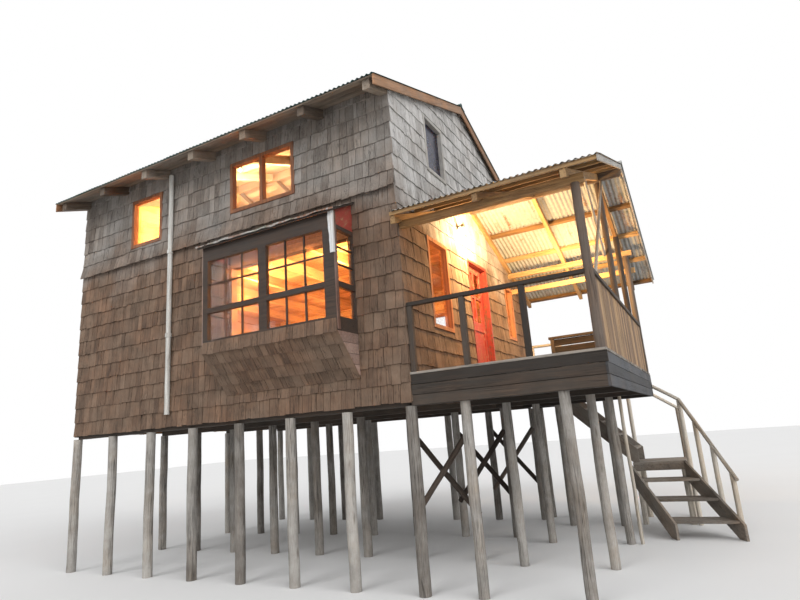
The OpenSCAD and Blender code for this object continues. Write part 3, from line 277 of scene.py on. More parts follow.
def grow(tree: NodeTree, name: str, source: Mesh | None, **values: object) -> Mesh:
    """Runs a Geometry Nodes tree on a mesh and returns its result as a plain mesh.

    Args:
        tree: the Geometry Nodes tree.
        name: the name of the result.
        source: the mesh that the tree starts from, or None.
        values: the inputs, by their names with underscores for spaces.

    Returns:
        The finished mesh.
    """
    host = linked(name, source or bpy.data.meshes.new(name))
    modifier = host.modifiers.new("growth", "NODES")
    modifier.node_group = tree
    left = {key.replace("_", " "): value for key, value in values.items()}
    for item in tree.interface.items_tree:
        if item.item_type == "SOCKET" and item.in_out == "INPUT" and item.name in left:
            modifier[item.identifier] = left.pop(item.name)
    if left:
        raise ValueError(f"{tree.name} has no inputs named {sorted(left)}")
    mesh = bpy.data.meshes.new_from_object(
        host.evaluated_get(bpy.context.evaluated_depsgraph_get()))
    mesh.name = name
    host.modifiers.remove(modifier)
    bpy.data.objects.remove(host)
    return mesh


def linked(name: str, data: ID) -> Object:
    """Makes an object and links it to the scene.

    Args:
        name: its name.
        data: its mesh, camera or light.

    Returns:
        The object.
    """
    made = bpy.data.objects.new(name, data)
    bpy.context.scene.collection.objects.link(made)
    return made


def plain_mesh(name: str, points: list[Point], faces: list[tuple[int, ...]],
               edges: list[tuple[int, int]] | None = None) -> Mesh:
    """Makes a mesh.

    Args:
        name: its name.
        points: its points.
        faces: the points of each face.
        edges: the two points of each loose edge.

    Returns:
        The mesh.
    """
    mesh = bpy.data.meshes.new(name)
    mesh.from_pydata(points, edges or [], faces)
    return mesh


# Solids of a node

@dataclass
class Solid:
    """One closed solid: its points, its triangles and the box around it."""

    points: np.ndarray
    faces: np.ndarray

    @property
    def low(self) -> np.ndarray:
        """Its lowest corner."""
        return self.points.min(0)

    @property
    def high(self) -> np.ndarray:
        """Its highest corner."""
        return self.points.max(0)

    @property
    def middle(self) -> np.ndarray:
        """The middle of its box."""
        return (self.low + self.high) / 2

    def axes(self) -> np.ndarray:
        """Finds its own three directions.

        Returns:
            The directions, one in each row, the longest first.
        """
        size = self.high - self.low
        tri = self.points[self.faces]
        area = np.linalg.norm(np.cross(tri[:, 1] - tri[:, 0], tri[:, 2] - tri[:, 0]), axis=1)
        mid = tri.mean(1)
        mean = (mid * area[:, None]).sum(0) / area.sum()
        spread = ((mid - mean) * area[:, None]).T @ (mid - mean)
        values, vectors = np.linalg.eigh(spread)
        if values[2] < 2.25 * values[1]:
            return np.eye(3)[np.argsort(size)[::-1]]
        return vectors[:, ::-1].T


def solids_of(node: str) -> list[Solid]:
    """Finds the separate solids of a node, with their loose triangles joined.

    Args:
        node: the node.

    Returns:
        The solids, in the order of their lowest corners.
    """
    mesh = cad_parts[node].data
    points = np.empty(len(mesh.vertices) * 3)
    mesh.vertices.foreach_get("co", points)
    mesh.calc_loop_triangles()
    faces = np.empty(len(mesh.loop_triangles) * 3, np.int32)
    mesh.loop_triangles.foreach_get("vertices", faces)
    points = points.reshape(-1, 3)
    _, first, joined = np.unique(np.round(points * 20000).astype(np.int64), axis=0,
                                 return_index=True, return_inverse=True)
    faces = joined.reshape(-1)[faces].reshape(-1, 3)
    points = points[first]
    label = np.arange(len(points))
    while True:
        low = label[faces].min(1)
        new = label.copy()
        for corner in range(3):
            np.minimum.at(new, faces[:, corner], low)
        new = new[new]
        if (new == label).all():
            break
        label = new
    solids = []
    for value in np.unique(label[faces[:, 0]]):
        own = faces[label[faces[:, 0]] == value]
        used, fresh = np.unique(own, return_inverse=True)
        solids.append(Solid(points[used], fresh.reshape(-1, 3)))
    solids.sort(key=lambda s: tuple(np.round(s.low, 3)))
    return solids


def add_attribute(mesh: Mesh, name: str, values: np.ndarray) -> None:
    """Gives each point of a mesh a number, or a vector where the values are in rows of three."""
    kind, key = (VECTOR, "vector") if values.ndim == 2 else ("FLOAT", "value")
    mesh.attributes.new(name, kind, "POINT").data.foreach_set(key, values.reshape(-1))


@dataclass
class MeshParts:
    """Gathers pieces of mesh with their grain and tone, and makes one mesh of them."""

    points: list[np.ndarray] = field(default_factory=list)
    faces: list[list[int]] = field(default_factory=list)
    grain: list[np.ndarray] = field(default_factory=list)
    tone: list[np.ndarray] = field(default_factory=list)
    count: int = 0

    def add(self, points: np.ndarray, faces: list[list[int]], grain: np.ndarray,
            tone: float) -> None:
        """Adds one closed piece.

        Args:
            points: its points.
            faces: the points of each face.
            grain: the grain's place at each point.
            tone: its tone.
        """
        self.points.append(points)
        self.faces.extend([[i + self.count for i in face] for face in faces])
        self.grain.append(grain)
        self.tone.append(np.full(len(points), tone))
        self.count += len(points)

    def mesh(self) -> Mesh:
        """Makes the mesh of all the pieces.

        Returns:
            The mesh, with its attributes grain and tone.
        """
        made = plain_mesh("parts", np.concatenate(self.points).tolist(), self.faces)
        add_attribute(made, "grain", np.concatenate(self.grain))
        add_attribute(made, "tone", np.concatenate(self.tone))
        made.update()
        return made


@dataclass(frozen=True)
class Wear:
    """How a sawn piece differs from a plain one, in metres."""

    edge: float = 0.004
    wave: float = 0.0015
    station: float = 0.3


def worn(parts: MeshParts, solid: Solid, wear: Wear, rng: np.random.Generator,
         axes: np.ndarray | None = None) -> None:
    """Adds a worn copy of a solid: softened edges, and faces that are no longer flat.

    Args:
        parts: where the copy goes.
        solid: the solid that is copied.
        wear: the amounts of wear.
        rng: where its random numbers come from.
        axes: its own directions, the grain's first, where they are known.
    """
    axes = solid.axes() if axes is None else axes
    work = bmesh.new()
    corners = [work.verts.new(p) for p in solid.points]
    for face in solid.faces:
        work.faces.new([corners[i] for i in face])
    bmesh.ops.dissolve_limit(work, angle_limit=math.radians(1), verts=work.verts[:],
                             edges=work.edges[:])
    sharp = [e for e in work.edges if e.is_manifold and e.calc_face_angle(0) > math.radians(28)]
    if wear.edge > 0 and sharp:
        bmesh.ops.bevel(work, geom=sharp, offset=wear.edge, segments=1, profile=0.6, affect="EDGES",
                        clamp_overlap=True)
    along = axes[0]
    reach = solid.points @ along
    steps = int((reach.max() - reach.min()) / wear.station)
    for i in range(1, steps):
        at = reach.min() + (reach.max() - reach.min()) * i / steps
        bmesh.ops.bisect_plane(work, geom=work.verts[:] + work.edges[:] + work.faces[:], dist=1e-5,
                               plane_co=Vector(along * at), plane_no=Vector(along))
    shift = Vector(rng.uniform(-50, 50, 3))
    tone = float(rng.uniform(0, 1))
    for vertex in work.verts:
        vertex.co += noise.noise_vector(vertex.co * 2.3 + shift) * wear.wave
    points = np.array([vertex.co[:] for vertex in work.verts])
    work.verts.index_update()
    faces = [[v.index for v in face.verts] for face in work.faces]
    work.free()
    grain = (points - solid.middle) @ axes.T + rng.uniform(-20, 20, 3)
    parts.add(points, faces, grain, tone)


def box_solid(low: Point, high: Point) -> Solid:
    """Makes the solid of a plain box.

    Args:
        low: its lowest corner.
        high: its highest corner.

    Returns:
        The closed solid.
    """
    corners = np.array([[(low, high)[k >> a & 1][a] for a in range(3)] for k in range(8)], float)
    quads = [(0, 2, 3, 1), (4, 5, 7, 6), (0, 1, 5, 4), (2, 6, 7, 3), (0, 4, 6, 2), (1, 3, 7, 5)]
    faces = [t for a, b, c, d in quads for t in ((a, b, c), (a, c, d))]
    return Solid(corners, np.array(faces))


def bar_solid(start: Point, end: Point, across: Point, wide: float, thick: float) -> Solid:
    """Returns a straight bar of oblong section.

    Args:
        start: the middle of its first end.
        end: the middle of its last end.
        across: the direction of its width.
        wide: its width.
        thick: its thickness.

    Returns:
        The closed solid.
    """
    a, b = np.array(start, float), np.array(end, float)
    way = (b - a) / np.linalg.norm(b - a)
    side = np.array(across, float)
    side -= way * (side @ way)
    side /= np.linalg.norm(side)
    up = np.cross(way, side)
    base = box_solid((0, -wide / 2, -thick / 2), (np.linalg.norm(b - a), wide / 2, thick / 2))
    return Solid(base.points @ np.array([way, side, up]) + a, base.faces)


def finish_piece(mesh: Mesh, name: str, material: Material, slot: str,
                 replaced: tuple[str, ...] = (), smooth: float = 30.0, body: str = HOUSE) -> Object:
    """Makes a mesh a piece of the house: its object, material and body.

    Args:
        mesh: the finished mesh, in its place.
        name: the piece's name.
        material: its material.
        slot: not used.
        replaced: the nodes that it stands for.
        smooth: faces that meet at less than this many degrees are shaded as one.
        body: the body that it rides on.

    Returns:
        The object.
    """
    mesh.name = name
    mesh.materials.clear()
    mesh.materials.append(material)
    mesh.shade_smooth()
    mesh.set_sharp_from_angle(angle=math.radians(smooth))
    made = linked(name, mesh)
    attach(made, body)
    if replaced:
        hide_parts(*replaced)
    log.info("%s: %d faces on %s", name, len(mesh.polygons), body)
    return made


def joined(*meshes: Mesh) -> Mesh:
    """Makes one mesh of several.

    Args:
        meshes: the meshes, which are used up.

    Returns:
        The mesh, with their attributes kept.
    """
    hosts = [linked("part", mesh) for mesh in meshes]
    with bpy.context.temp_override(active_object=hosts[0], object=hosts[0], selected_objects=hosts,
                                   selected_editable_objects=hosts):
        bpy.ops.object.join()
    mesh = hosts[0].data
    bpy.data.objects.remove(hosts[0])
    return mesh


# Surfaces

def wood_surface() -> NodeTree:
    """Draws wood: grain, knots, splits, weathering and dirt.

    Returns:
        The shared group.
    """
    t, i, end = new_group(
        "wood surface", "ShaderNodeTree",
        {"Grain": (0.0, 0.0, 0.0), "Place": (0.0, 0.0, 0.0), "Tone": 0.5, "Pale": "colour",
         "Dark": "colour", "Grey": "colour", "Weather": 0.5, "Grime": 0.3, "Splits": 0.5,
         "Variety": 1.0}, {"Color": "colour", "Roughness": float, "Height": float})
    bend = t.noise(t.vmul(i.grain, (1.4, 5.0, 5.0)), 1.0, 1.0, colour=True)
    grain = t.vadd(i.grain, t.scaled(t.centred(bend), 0.03))
    bands = t.noise(t.vmul(grain, (1.5, 34.0, 34.0)), 1.0, 4.0, 0.62)
    fibres = t.noise(t.vmul(grain, (10.0, 300.0, 300.0)), 1.0, 2.0, 0.6)
    knot = t.ramp(t.cells(t.vmul(grain, (1.7, 8.0, 8.0)), 1.0), 0.15, 0.05)
    line = t.noise(t.vmul(grain, (0.9, 52.0, 52.0)), 1.0, 2.0)
    where = t.ramp(t.noise(t.vmul(grain, (0.8, 6.0, 6.0)), 1.0, 1.0), 0.62, 0.42)
    width = t.mul(i.splits, 0.05)
    thin = t.ramp(t.math("ABSOLUTE", t.sub(line, 0.5)), width, 0.0)
    split = t.mul(thin, t.sub(1.0, where))
    varied = t.mul(t.sub(i.tone, 0.5), i.variety)
    tone = t.mul(varied, 0.45)
    colour = t.blend(t.ramp(t.add(bands, tone), 0.3, 0.7), i.dark, i.pale)
    patch = t.noise(i.place, 1.4, 3.0, 0.6)
    patch = t.add(patch, t.mul(t.sub(fibres, 0.5), 0.5))
    patch = t.add(patch, t.mul(tone, 0.5))
    old = t.ramp(t.sub(t.add(patch, i.weather), 1.0), -0.25, 0.25)
    grey = t.blend(t.ramp(fibres, 0.3, 0.7), t.blend(0.45, i.grey, i.dark), i.grey)
    colour = t.blend(old, colour, grey)
    colour = t.blend(t.mul(knot, 0.6), colour, i.dark)
    light = t.add(1.0, t.mul(varied, 0.4))
    colour = t.blend(1.0, colour, t.vector(light, light, light), "MULTIPLY")
    colour = t.blend(t.mul(split, 0.8), colour, (0.012, 0.009, 0.007, 1.0))
    dirt = t.mul(t.ramp(t.noise(i.place, 2.6, 4.0, 0.65), 0.4, 0.72), i.grime)
    colour = t.blend(dirt, colour, (0.03, 0.022, 0.016, 1.0))
    rough = t.between(old, t.ramp(bands, 0.2, 0.8, 0.5, 0.68), t.ramp(fibres, 0.2, 0.8, 0.78, 0.95))
    height = t.add(t.mul(fibres, 0.3), t.mul(bands, 0.6))
    height = t.sub(height, t.mul(split, 0.9))
    height = t.add(height, t.mul(knot, 0.25))
    return t.put(end, Color=colour, Roughness=rough, Height=height)


def iron_surface() -> NodeTree:
    """Draws zinc-coated or painted iron with wear, rust and moss.

    Returns:
        The shared group.
    """
    t, i, end = new_group(
        "iron surface", "ShaderNodeTree",
        {"Place": (0.0, 0.0, 0.0), "Streak": (1.0, 1.0, 1.0), "Paint": "colour", "Bare": "colour",
         "Wear": 0.4, "Rust": 0.3, "Moss": 0.2},
        {"Color": "colour", "Roughness": float, "Metallic": float, "Height": float})
    streak = t.noise(t.vmul(i.place, i.streak), 1.0, 4.0, 0.6)
    spangle = t.ramp(t.cells(i.place, 90.0), 0.0, 0.8)
    bare = t.blend(spangle, i.bare, t.blend(0.35, i.bare, (0.7, 0.72, 0.72, 1)))
    flakes = t.noise(i.place, 11.0, 5.0, 0.7)
    flakes = t.add(t.mul(flakes, 0.6), t.mul(streak, 0.4))
    worn_off = t.ramp(t.sub(flakes, t.sub(0.85, i.wear)), -0.12, 0.14)
    fade = t.blend(t.ramp(streak, 0.35, 0.7), i.paint, t.blend(0.25, i.paint, (0.35, 0.4, 0.38, 1)))
    colour = t.blend(worn_off, fade, bare)
    spots = t.noise(i.place, 26.0, 4.0, 0.7)
    rust_at = t.add(t.mul(streak, 0.6), t.mul(spots, 0.4))
    rusty = t.ramp(t.sub(rust_at, t.sub(0.8, t.mul(i.rust, 0.5))), -0.05, 0.08)
    rust = t.blend(t.ramp(spots, 0.35, 0.65), (0.11, 0.035, 0.014, 1), (0.24, 0.09, 0.035, 1))
    colour = t.blend(rusty, colour, rust)
    green = t.noise(i.place, 4.5, 5.0, 0.68)
    mossy = t.ramp(t.sub(green, t.sub(0.82, t.mul(i.moss, 0.5))), -0.04, 0.1)
    moss = t.blend(t.ramp(spots, 0.35, 0.65), (0.055, 0.075, 0.03, 1), (0.13, 0.14, 0.07, 1))
    colour = t.blend(mossy, colour, moss)
    dull = t.math("MAXIMUM", rusty, mossy)
    rough = t.between(dull, t.ramp(streak, 0.3, 0.7, 0.36, 0.55), 0.9)
    metal = t.mul(t.mul(worn_off, 0.45), t.sub(1.0, dull))
    height = t.add(t.mul(dull, t.add(0.5, spots)), t.mul(worn_off, -0.2))
    return t.put(end, Color=colour, Roughness=rough, Metallic=metal, Height=height)


def paint_coat() -> NodeTree:
    """Lays a worn coat of paint over wood.

    Returns:
        The shared group.
    """
    t, i, end = new_group("paint coat", "ShaderNodeTree",
                          {"Grain": (0.0, 0.0, 0.0), "Place": (0.0, 0.0, 0.0),
                           "Wood": "colour", "Wood Height": 0.0, "Paint": "colour", "Wear": 0.3},
                          {"Color": "colour", "Roughness": float, "Height": float})
    streak = t.noise(t.vmul(i.grain, (3.0, 60.0, 60.0)), 1.0, 4.0, 0.65)
    spots = t.noise(i.place, 17.0, 4.0, 0.7)
    mixed = t.add(t.mul(streak, 0.55), t.mul(spots, 0.45))
    bare = t.ramp(t.sub(mixed, t.sub(0.82, i.wear)), -0.01, 0.03)
    sun = t.ramp(t.noise(i.place, 1.9, 2.0), 0.3, 0.7)
    paint = t.blend(sun, i.paint, t.blend(0.3, i.paint, (0.3, 0.13, 0.09, 1)))
    paint = t.blend(t.mul(t.ramp(streak, 0.35, 0.6), 0.35), paint,
                    t.blend(0.5, i.paint, (0.02, 0.012, 0.01, 1)))
    colour = t.blend(bare, paint, i.wood)
    rough = t.between(bare, t.ramp(spots, 0.3, 0.7, 0.38, 0.6), 0.85)
    height = t.sub(t.mul(i.wood_height, 0.45), bare)
    return t.put(end, Color=colour, Roughness=rough, Height=height)


def boarding() -> NodeTree:
    """Draws boards side by side across Place's second axis.

    Returns:
        The shared group.
    """
    t, i, end = new_group("boarding", "ShaderNodeTree", {"Place": (0.0, 0.0, 0.0), "Board": 0.14},
                          {"Grain": tuple, "Tone": float, "Joint": float})
    along, across, deep = t.split(i.place)
    row = t.math("DIVIDE", across, i.board)
    number = t.math("FLOOR", row)
    part = t.sub(row, number)
    edge = t.math("MINIMUM", part, t.sub(1.0, part))
    joint = t.ramp(edge, 0.035, 0.0)
    tone = t.ramp(t.noise(t.vector(t.mul(number, 7.31), 3.7, 1.9), 1.0), 0.3, 0.7)
    grain = t.vector(t.add(along, t.mul(number, 3.17)), t.add(across, t.mul(number, 5.3)), deep)
    return t.put(end, Grain=grain, Tone=tone, Joint=joint)


WOOD = wood_surface()
IRON = iron_surface()
PAINT = paint_coat()
BOARDING = boarding()


def rgba(colour: Colour) -> tuple[float, float, float, float]:
    """Returns a colour with full opacity."""
    return (*colour, 1.0)


class Sheet:
    """One material under construction, with its shader in place."""

    def __init__(self, name: str, specular: float = 0.35, **constants: float) -> None:
        """Starts a material.

        Args:
            name: the material's name.
            specular: the specular level of its shader.
            constants: other inputs of the shader, by their names with underscores for spaces.
        """
        self.material = bpy.data.materials.new(name)
        self.material.use_nodes = True
        tree = self.material.node_tree
        tree.nodes.clear()
        self.tree = Tree(tree)
        self.shader = self.tree.node("ShaderNodeBsdfPrincipled")
        self.shader.inputs["Specular IOR Level"].default_value = specular
        for key, value in constants.items():
            self.shader.inputs[key.replace("_", " ")].default_value = value
        out = self.tree.node("ShaderNodeOutputMaterial")
        tree.links.new(self.shader.outputs[0], out.inputs[0])
        self.place = self.tree.node("ShaderNodeTexCoord").outputs["Object"]

    def group(self, tree: NodeTree, **inputs: object) -> Node:
        """Places a shared group.

        Args:
            tree: the group.
            inputs: its inputs, by name with underscores for spaces.

        Returns:
            The group's node.
        """
        made = self.tree.node("ShaderNodeGroup")
        made.node_tree = tree
        for key, value in inputs.items():
            self.tree.feed(made.inputs[key.replace("_", " ")], value)
        return made

    @property
    def grain(self) -> NodeSocket:
        """The grain's coordinates, which each piece carries."""
        return self.tree.node("ShaderNodeAttribute", attribute_name="grain").outputs["Vector"]

    @property
    def tone(self) -> NodeSocket:
        """The tone of each piece."""
        return self.tree.node("ShaderNodeAttribute", attribute_name="tone").outputs["Fac"]

    def shade(self, **values: object) -> None:
        """Feeds the shader's inputs, by their names with underscores for spaces."""
        for key, value in values.items():
            self.tree.feed(self.shader.inputs[key.replace("_", " ")], value)

    def dress(self, source: Node, depth: float) -> Material:
        """Links a group's outputs to the shader.

        Args:
            source: the group that puts out Color, Roughness, Height and perhaps Metallic.
            depth: the height of its relief in metres.

        Returns:
            The finished material.
        """
        self.shade(Base_Color=source.outputs["Color"], Roughness=source.outputs["Roughness"])
        if "Metallic" in source.outputs:
            self.shade(Metallic=source.outputs["Metallic"])
        self.bump(source.outputs["Height"], depth)
        return self.material

    def bump(self, height: NodeSocket, depth: float) -> None:
        """Feeds a height to the shader's normal."""
        self.shade(Normal=self.tree.first("ShaderNodeBump",
                                          {"Strength": 0.9, "Distance": depth, "Height": height}))


def mixed(t: Tree, part: NodeSocket, one: object, other: object,
          keys: tuple[str, ...]) -> dict[str, NodeSocket]:
    """Blends two finishes.

    Args:
        t: the material's tree.
        part: 0 for the first finish, 1 for the second.
        one: the first finish.
        other: the second finish.
        keys: the colours and numbers that are blended.

    Returns:
        The blended values, by the names of a group's inputs.
    """
    found = {}
    for key in keys:
        low, high = getattr(one, key), getattr(other, key)
        found[key.capitalize()] = (t.blend(part, rgba(low), rgba(high)) if isinstance(low, tuple)
                                   else t.between(part, low, high))
    return found


@dataclass(frozen=True)
class WoodFinish:
    """A finish of bare or stained wood, with its colours as red, green and blue."""

    name: str
    pale: Colour
    dark: Colour
    grey: Colour
    weather: float = 0.5
    grime: float = 0.3
    splits: float = 0.5
    depth: float = 0.0025
    variety: float = 1.0

    def wood(self, sheet: Sheet, **changed: object) -> Node:
        """Places the wood group in a material.

        Args:
            sheet: the material.
            changed: inputs that differ from this finish.

        Returns:
            The group's node.
        """
        if "Grain" not in changed:
            changed |= {"Grain": sheet.grain, "Tone": sheet.tone}
        inputs = {"Pale": rgba(self.pale), "Dark": rgba(self.dark), "Grey": rgba(self.grey),
                  "Weather": self.weather, "Grime": self.grime, "Splits": self.splits,
                  "Variety": self.variety}
        return sheet.group(WOOD, Place=sheet.place, **(inputs | changed))

    def material(self) -> Material:
        """Builds the material."""
        sheet = Sheet(self.name, 0.3)
        return sheet.dress(self.wood(sheet), self.depth)


@dataclass(frozen=True)
class ShingleFinish:
    """Weathered shingles: silver grey above a height; below it browner and darker, painted shade
    under the skirt.
    """

    name: str
    upper: WoodFinish
    lower: WoodFinish
    height: float = SKIRT_TOP

    def material(self) -> Material:
        """Builds the material, which blends the two finishes by height, the lower one painted
        shade.

        Returns:
            The material.
        """
        sheet = Sheet(self.name, 0.25)
        t = sheet.tree
        # Painted shade: below about the skirt's height the shingles turn to the darker, browner
        # lower finish, along a wandering edge.
        wander = t.mul(t.sub(t.noise(sheet.place, 1.1, 3.0), 0.5), 2.2)
        part = t.ramp(t.add(t.split(sheet.place)[2], wander), self.height - 0.5, self.height + 0.6)
        blended = mixed(t, part, self.lower, self.upper, ("pale", "dark", "grey", "grime"))
        return sheet.dress(self.upper.wood(sheet, **blended), self.upper.depth)


@dataclass(frozen=True)
class PaintFinish:
    """A worn coat of paint over wood."""

    name: str
    paint: Colour
    under: WoodFinish
    wear: float = 0.3
    depth: float = 0.0015

    def material(self) -> Material:
        """Builds the material.

        Returns:
            The material.
        """
        sheet = Sheet(self.name, 0.45)
        wood = self.under.wood(sheet)
        coat = sheet.group(PAINT, Grain=sheet.grain, Place=sheet.place, Wood=wood.outputs["Color"],
                           Wood_Height=wood.outputs["Height"], Paint=rgba(self.paint),
                           Wear=self.wear)
        return sheet.dress(coat, self.depth)


@dataclass(frozen=True)
class IronFinish:
    """A finish of corrugated or flat iron sheet."""

    name: str
    paint: Colour
    bare: Colour
    wear: float
    rust: float
    moss: float
    streak: Point = (9.0, 1.2, 1.2)
    depth: float = 0.0008

    def material(self) -> Material:
        """Builds the material.

        Returns:
            The material.
        """
        sheet = Sheet(self.name, 0.5)
        iron = sheet.group(IRON, Place=sheet.place, Streak=self.streak, Paint=rgba(self.paint),
                           Bare=rgba(self.bare), Wear=self.wear, Rust=self.rust, Moss=self.moss)
        return sheet.dress(iron, self.depth)


@dataclass(frozen=True)
class CapFinish:
    """Iron of the ridge caps: the porch's below a height, the main roof's above it."""

    name: str
    upper: IronFinish
    lower: IronFinish
    height: float

    def material(self) -> Material:
        """Builds the material.

        Returns:
            The material.
        """
        sheet = Sheet(self.name, 0.5)
        t = sheet.tree
        part = t.math("LESS_THAN", t.split(sheet.place)[2], self.height)
        blended = mixed(t, part, self.upper, self.lower, ("wear", "rust", "moss", "paint", "bare"))
        iron = sheet.group(IRON, Place=sheet.place, Streak=self.upper.streak, **blended)
        return sheet.dress(iron, self.upper.depth)


@dataclass(frozen=True)
class LiningFinish:
    """Boards drawn on a flat CAD face: lining inside its rooms, dark sheathing outside them."""

    name: str
    inside: WoodFinish
    outside: WoodFinish
    rooms: tuple[tuple[Point, Point], ...]
    board: float = 0.14
    flat: bool = False

    def material(self) -> Material:
        """Builds the material, which tells the inside by each room's two corners.

        Returns:
            The material.
        """
        sheet = Sheet(self.name, 0.3)
        t = sheet.tree
        x, y, z = t.split(sheet.place)
        run = sheet.place if self.flat else t.vector(t.add(x, y), z, t.sub(x, y))
        boards = sheet.group(BOARDING, Place=run, Board=self.board)
        within = 0.0
        for low, high in self.rooms:
            room = 1.0
            for axis, value in enumerate((x, y, z)):
                room = t.mul(room, t.math("GREATER_THAN", value, low[axis]))
                room = t.mul(room, t.math("LESS_THAN", value, high[axis]))
            within = t.math("MAXIMUM", within, room)
        inner, outer = (finish.wood(sheet, Grain=boards.outputs["Grain"],
                                    Tone=boards.outputs["Tone"]).outputs
                        for finish in (self.inside, self.outside))
        colour = t.blend(within, outer["Color"], inner["Color"])
        colour = t.blend(boards.outputs["Joint"], colour, (0.015, 0.01, 0.007, 1))
        rough = t.between(within, outer["Roughness"], inner["Roughness"])
        height = t.between(within, outer["Height"], inner["Height"])
        height = t.sub(height, t.mul(boards.outputs["Joint"], 2.0))
        sheet.shade(Base_Color=colour, Roughness=rough)
        sheet.bump(height, 0.0015)
        return sheet.material


@dataclass(frozen=True)
class GlassFinish:
    """Clear panes, a little dusty and uneven; the one past the gable's x and height is opaque dark
    blue, painted shade of the unlit room and a painted reflection of the sky.
    """

    name: str = "clear_panes"
    opacity: float = 0.12
    # Painted shade and reflection: the opaque dark blue of the gable's upper pane.
    painted_reflection: Colour = (0.075, 0.11, 0.32)
    gable: tuple[float, float] = (-0.2, 5.6)

    def material(self) -> Material:
        """Builds the material.

        Returns:
            The material.
        """
        sheet = Sheet(self.name, 0.3, Transmission_Weight=1.0, IOR=1.45)
        t = sheet.tree
        dust = t.ramp(t.noise(sheet.place, 6.0, 4.0, 0.65), 0.45, 0.8)
        x, _, z = t.split(sheet.place)
        # Painted shade and reflection: past the gable's x and height the pane turns opaque dark
        # blue.
        upper = t.mul(t.math("GREATER_THAN", x, self.gable[0]),
                      t.math("GREATER_THAN", z, self.gable[1]))
        clear = t.blend(dust, (0.96, 0.97, 0.97, 1), (0.62, 0.6, 0.56, 1))
        sheet.shade(Base_Color=t.blend(upper, clear, rgba(self.painted_reflection)),
                    Alpha=t.between(upper, self.opacity, 1.0),
                    Roughness=t.ramp(dust, 0.0, 1.0, t.between(upper, 0.02, 0.25), 0.3))
        sheet.bump(t.noise(sheet.place, 3.0, 1.0), 0.002)
        return sheet.material


@dataclass(frozen=True)
class PipeFinish:
    """Dull pipe with runs of dirt."""

    name: str
    colour: Colour
    stain: Colour
    rough: float = 0.5

    def material(self) -> Material:
        """Builds the material.

        Returns:
            The material.
        """
        sheet = Sheet(self.name, 0.4)
        t = sheet.tree
        run = t.noise(t.vmul(sheet.place, (30.0, 30.0, 1.6)), 1.0, 4.0, 0.6)
        spots = t.noise(sheet.place, 40.0, 3.0, 0.6)
        colour = t.blend(t.ramp(run, 0.42, 0.72), rgba(self.colour), rgba(self.stain))
        colour = t.blend(t.mul(t.ramp(spots, 0.55, 0.75), 0.4), colour, rgba(self.stain))
        sheet.shade(Base_Color=colour,
                    Roughness=t.ramp(spots, 0.3, 0.7, self.rough - 0.08, self.rough + 0.2))
        sheet.bump(t.add(t.mul(run, 0.4), spots), 0.0006)
        return sheet.material


@dataclass(frozen=True)
class BrassFinish:
    """Worn metal that hands have polished."""

    name: str
    colour: Colour
    tarnish: Colour

    def material(self) -> Material:
        """Builds the material.

        Returns:
            The material.
        """
        sheet = Sheet(self.name, 0.5, Metallic=1.0)
        t = sheet.tree
        spots = t.noise(sheet.place, 70.0, 4.0, 0.65)
        old = t.ramp(spots, 0.42, 0.62)
        sheet.shade(Base_Color=t.blend(old, rgba(self.colour), rgba(self.tarnish)),
                    Roughness=t.ramp(old, 0.0, 1.0, 0.25, 0.55))
        sheet.bump(spots, 0.0002)
        return sheet.material


@dataclass(frozen=True)
class BulbFinish:
    """The glowing glass of a lamp."""

    name: str = "warm_bulb"
    colour: Colour = (1.0, 0.62, 0.26)
    strength: float = 5.0

    def material(self) -> Material:
        """Builds the material.

        Returns:
            The material.
        """
        sheet = Sheet(self.name, 0.4, Emission_Strength=self.strength)
        t = sheet.tree
        uneven = t.ramp(t.noise(sheet.place, 35.0, 2.0), 0.3, 0.7)
        glow = t.blend(uneven, rgba(self.colour), (1.0, 0.78, 0.45, 1))
        sheet.shade(Emission_Color=glow, Base_Color=glow,
                    Roughness=t.ramp(uneven, 0.0, 1.0, 0.2, 0.35))
        return sheet.material


# Painted shade: the darker lower shingles stand for the shade below the skirt, partly the wood's
# own browner tone.
SHADED_LOWER_SHINGLE = WoodFinish("lower", (0.3, 0.158, 0.088), (0.08, 0.038, 0.022), (0.21, 0.15, 0.108),
                           0.58, 0.5)
GREY_SHINGLE = WoodFinish("upper", (0.36, 0.285, 0.225), (0.11, 0.076, 0.055), (0.33, 0.315, 0.295),
                          0.62, 0.35, 0.7, 0.003, variety=0.6)
# Painted light: a paler copy of the upper shingles for the gable wall, standing for the brighter
# light on that face.
LIT_GABLE_SHINGLE = WoodFinish("upper", (0.58, 0.52, 0.46), (0.19, 0.155, 0.13), (0.62, 0.61, 0.6), 0.72,
                          0.2, 0.7, 0.003, variety=0.6)
# Both shingle materials turn to the darker lower finish, painted shade, below their height.
SHADED_BELOW_SHINGLES = ShingleFinish("weathered_shingles", GREY_SHINGLE, SHADED_LOWER_SHINGLE)
LIT_GABLE_SHINGLES = ShingleFinish("bleached_shingles", LIT_GABLE_SHINGLE, SHADED_LOWER_SHINGLE, 5.0)
DARK_TIMBER = WoodFinish("dark_timber", (0.075, 0.048, 0.032), (0.021, 0.015, 0.011),
                         (0.06, 0.056, 0.05), 0.42, 0.4, 0.7)
BLUE_GREY_BOARDS = WoodFinish("blue_grey_boards", (0.1, 0.085, 0.078), (0.03, 0.027, 0.028),
                              (0.1, 0.107, 0.118), 0.55, 0.4, 0.7)
STILT_LOG = WoodFinish("stilt_logs", (0.36, 0.29, 0.22), (0.1, 0.075, 0.056), (0.4, 0.385, 0.36),
                       0.64, 0.4, 0.9, 0.004)
POST_LOG = WoodFinish("porch_post_logs", (0.14, 0.09, 0.06), (0.04, 0.026, 0.019),
                      (0.115, 0.103, 0.092), 0.45, 0.35, 0.8, 0.004)
RAIL_LOG = WoodFinish("peeled_poles", (0.58, 0.47, 0.34), (0.28, 0.2, 0.13), (0.6, 0.57, 0.51), 0.6,
                      0.15, 0.7, 0.003)
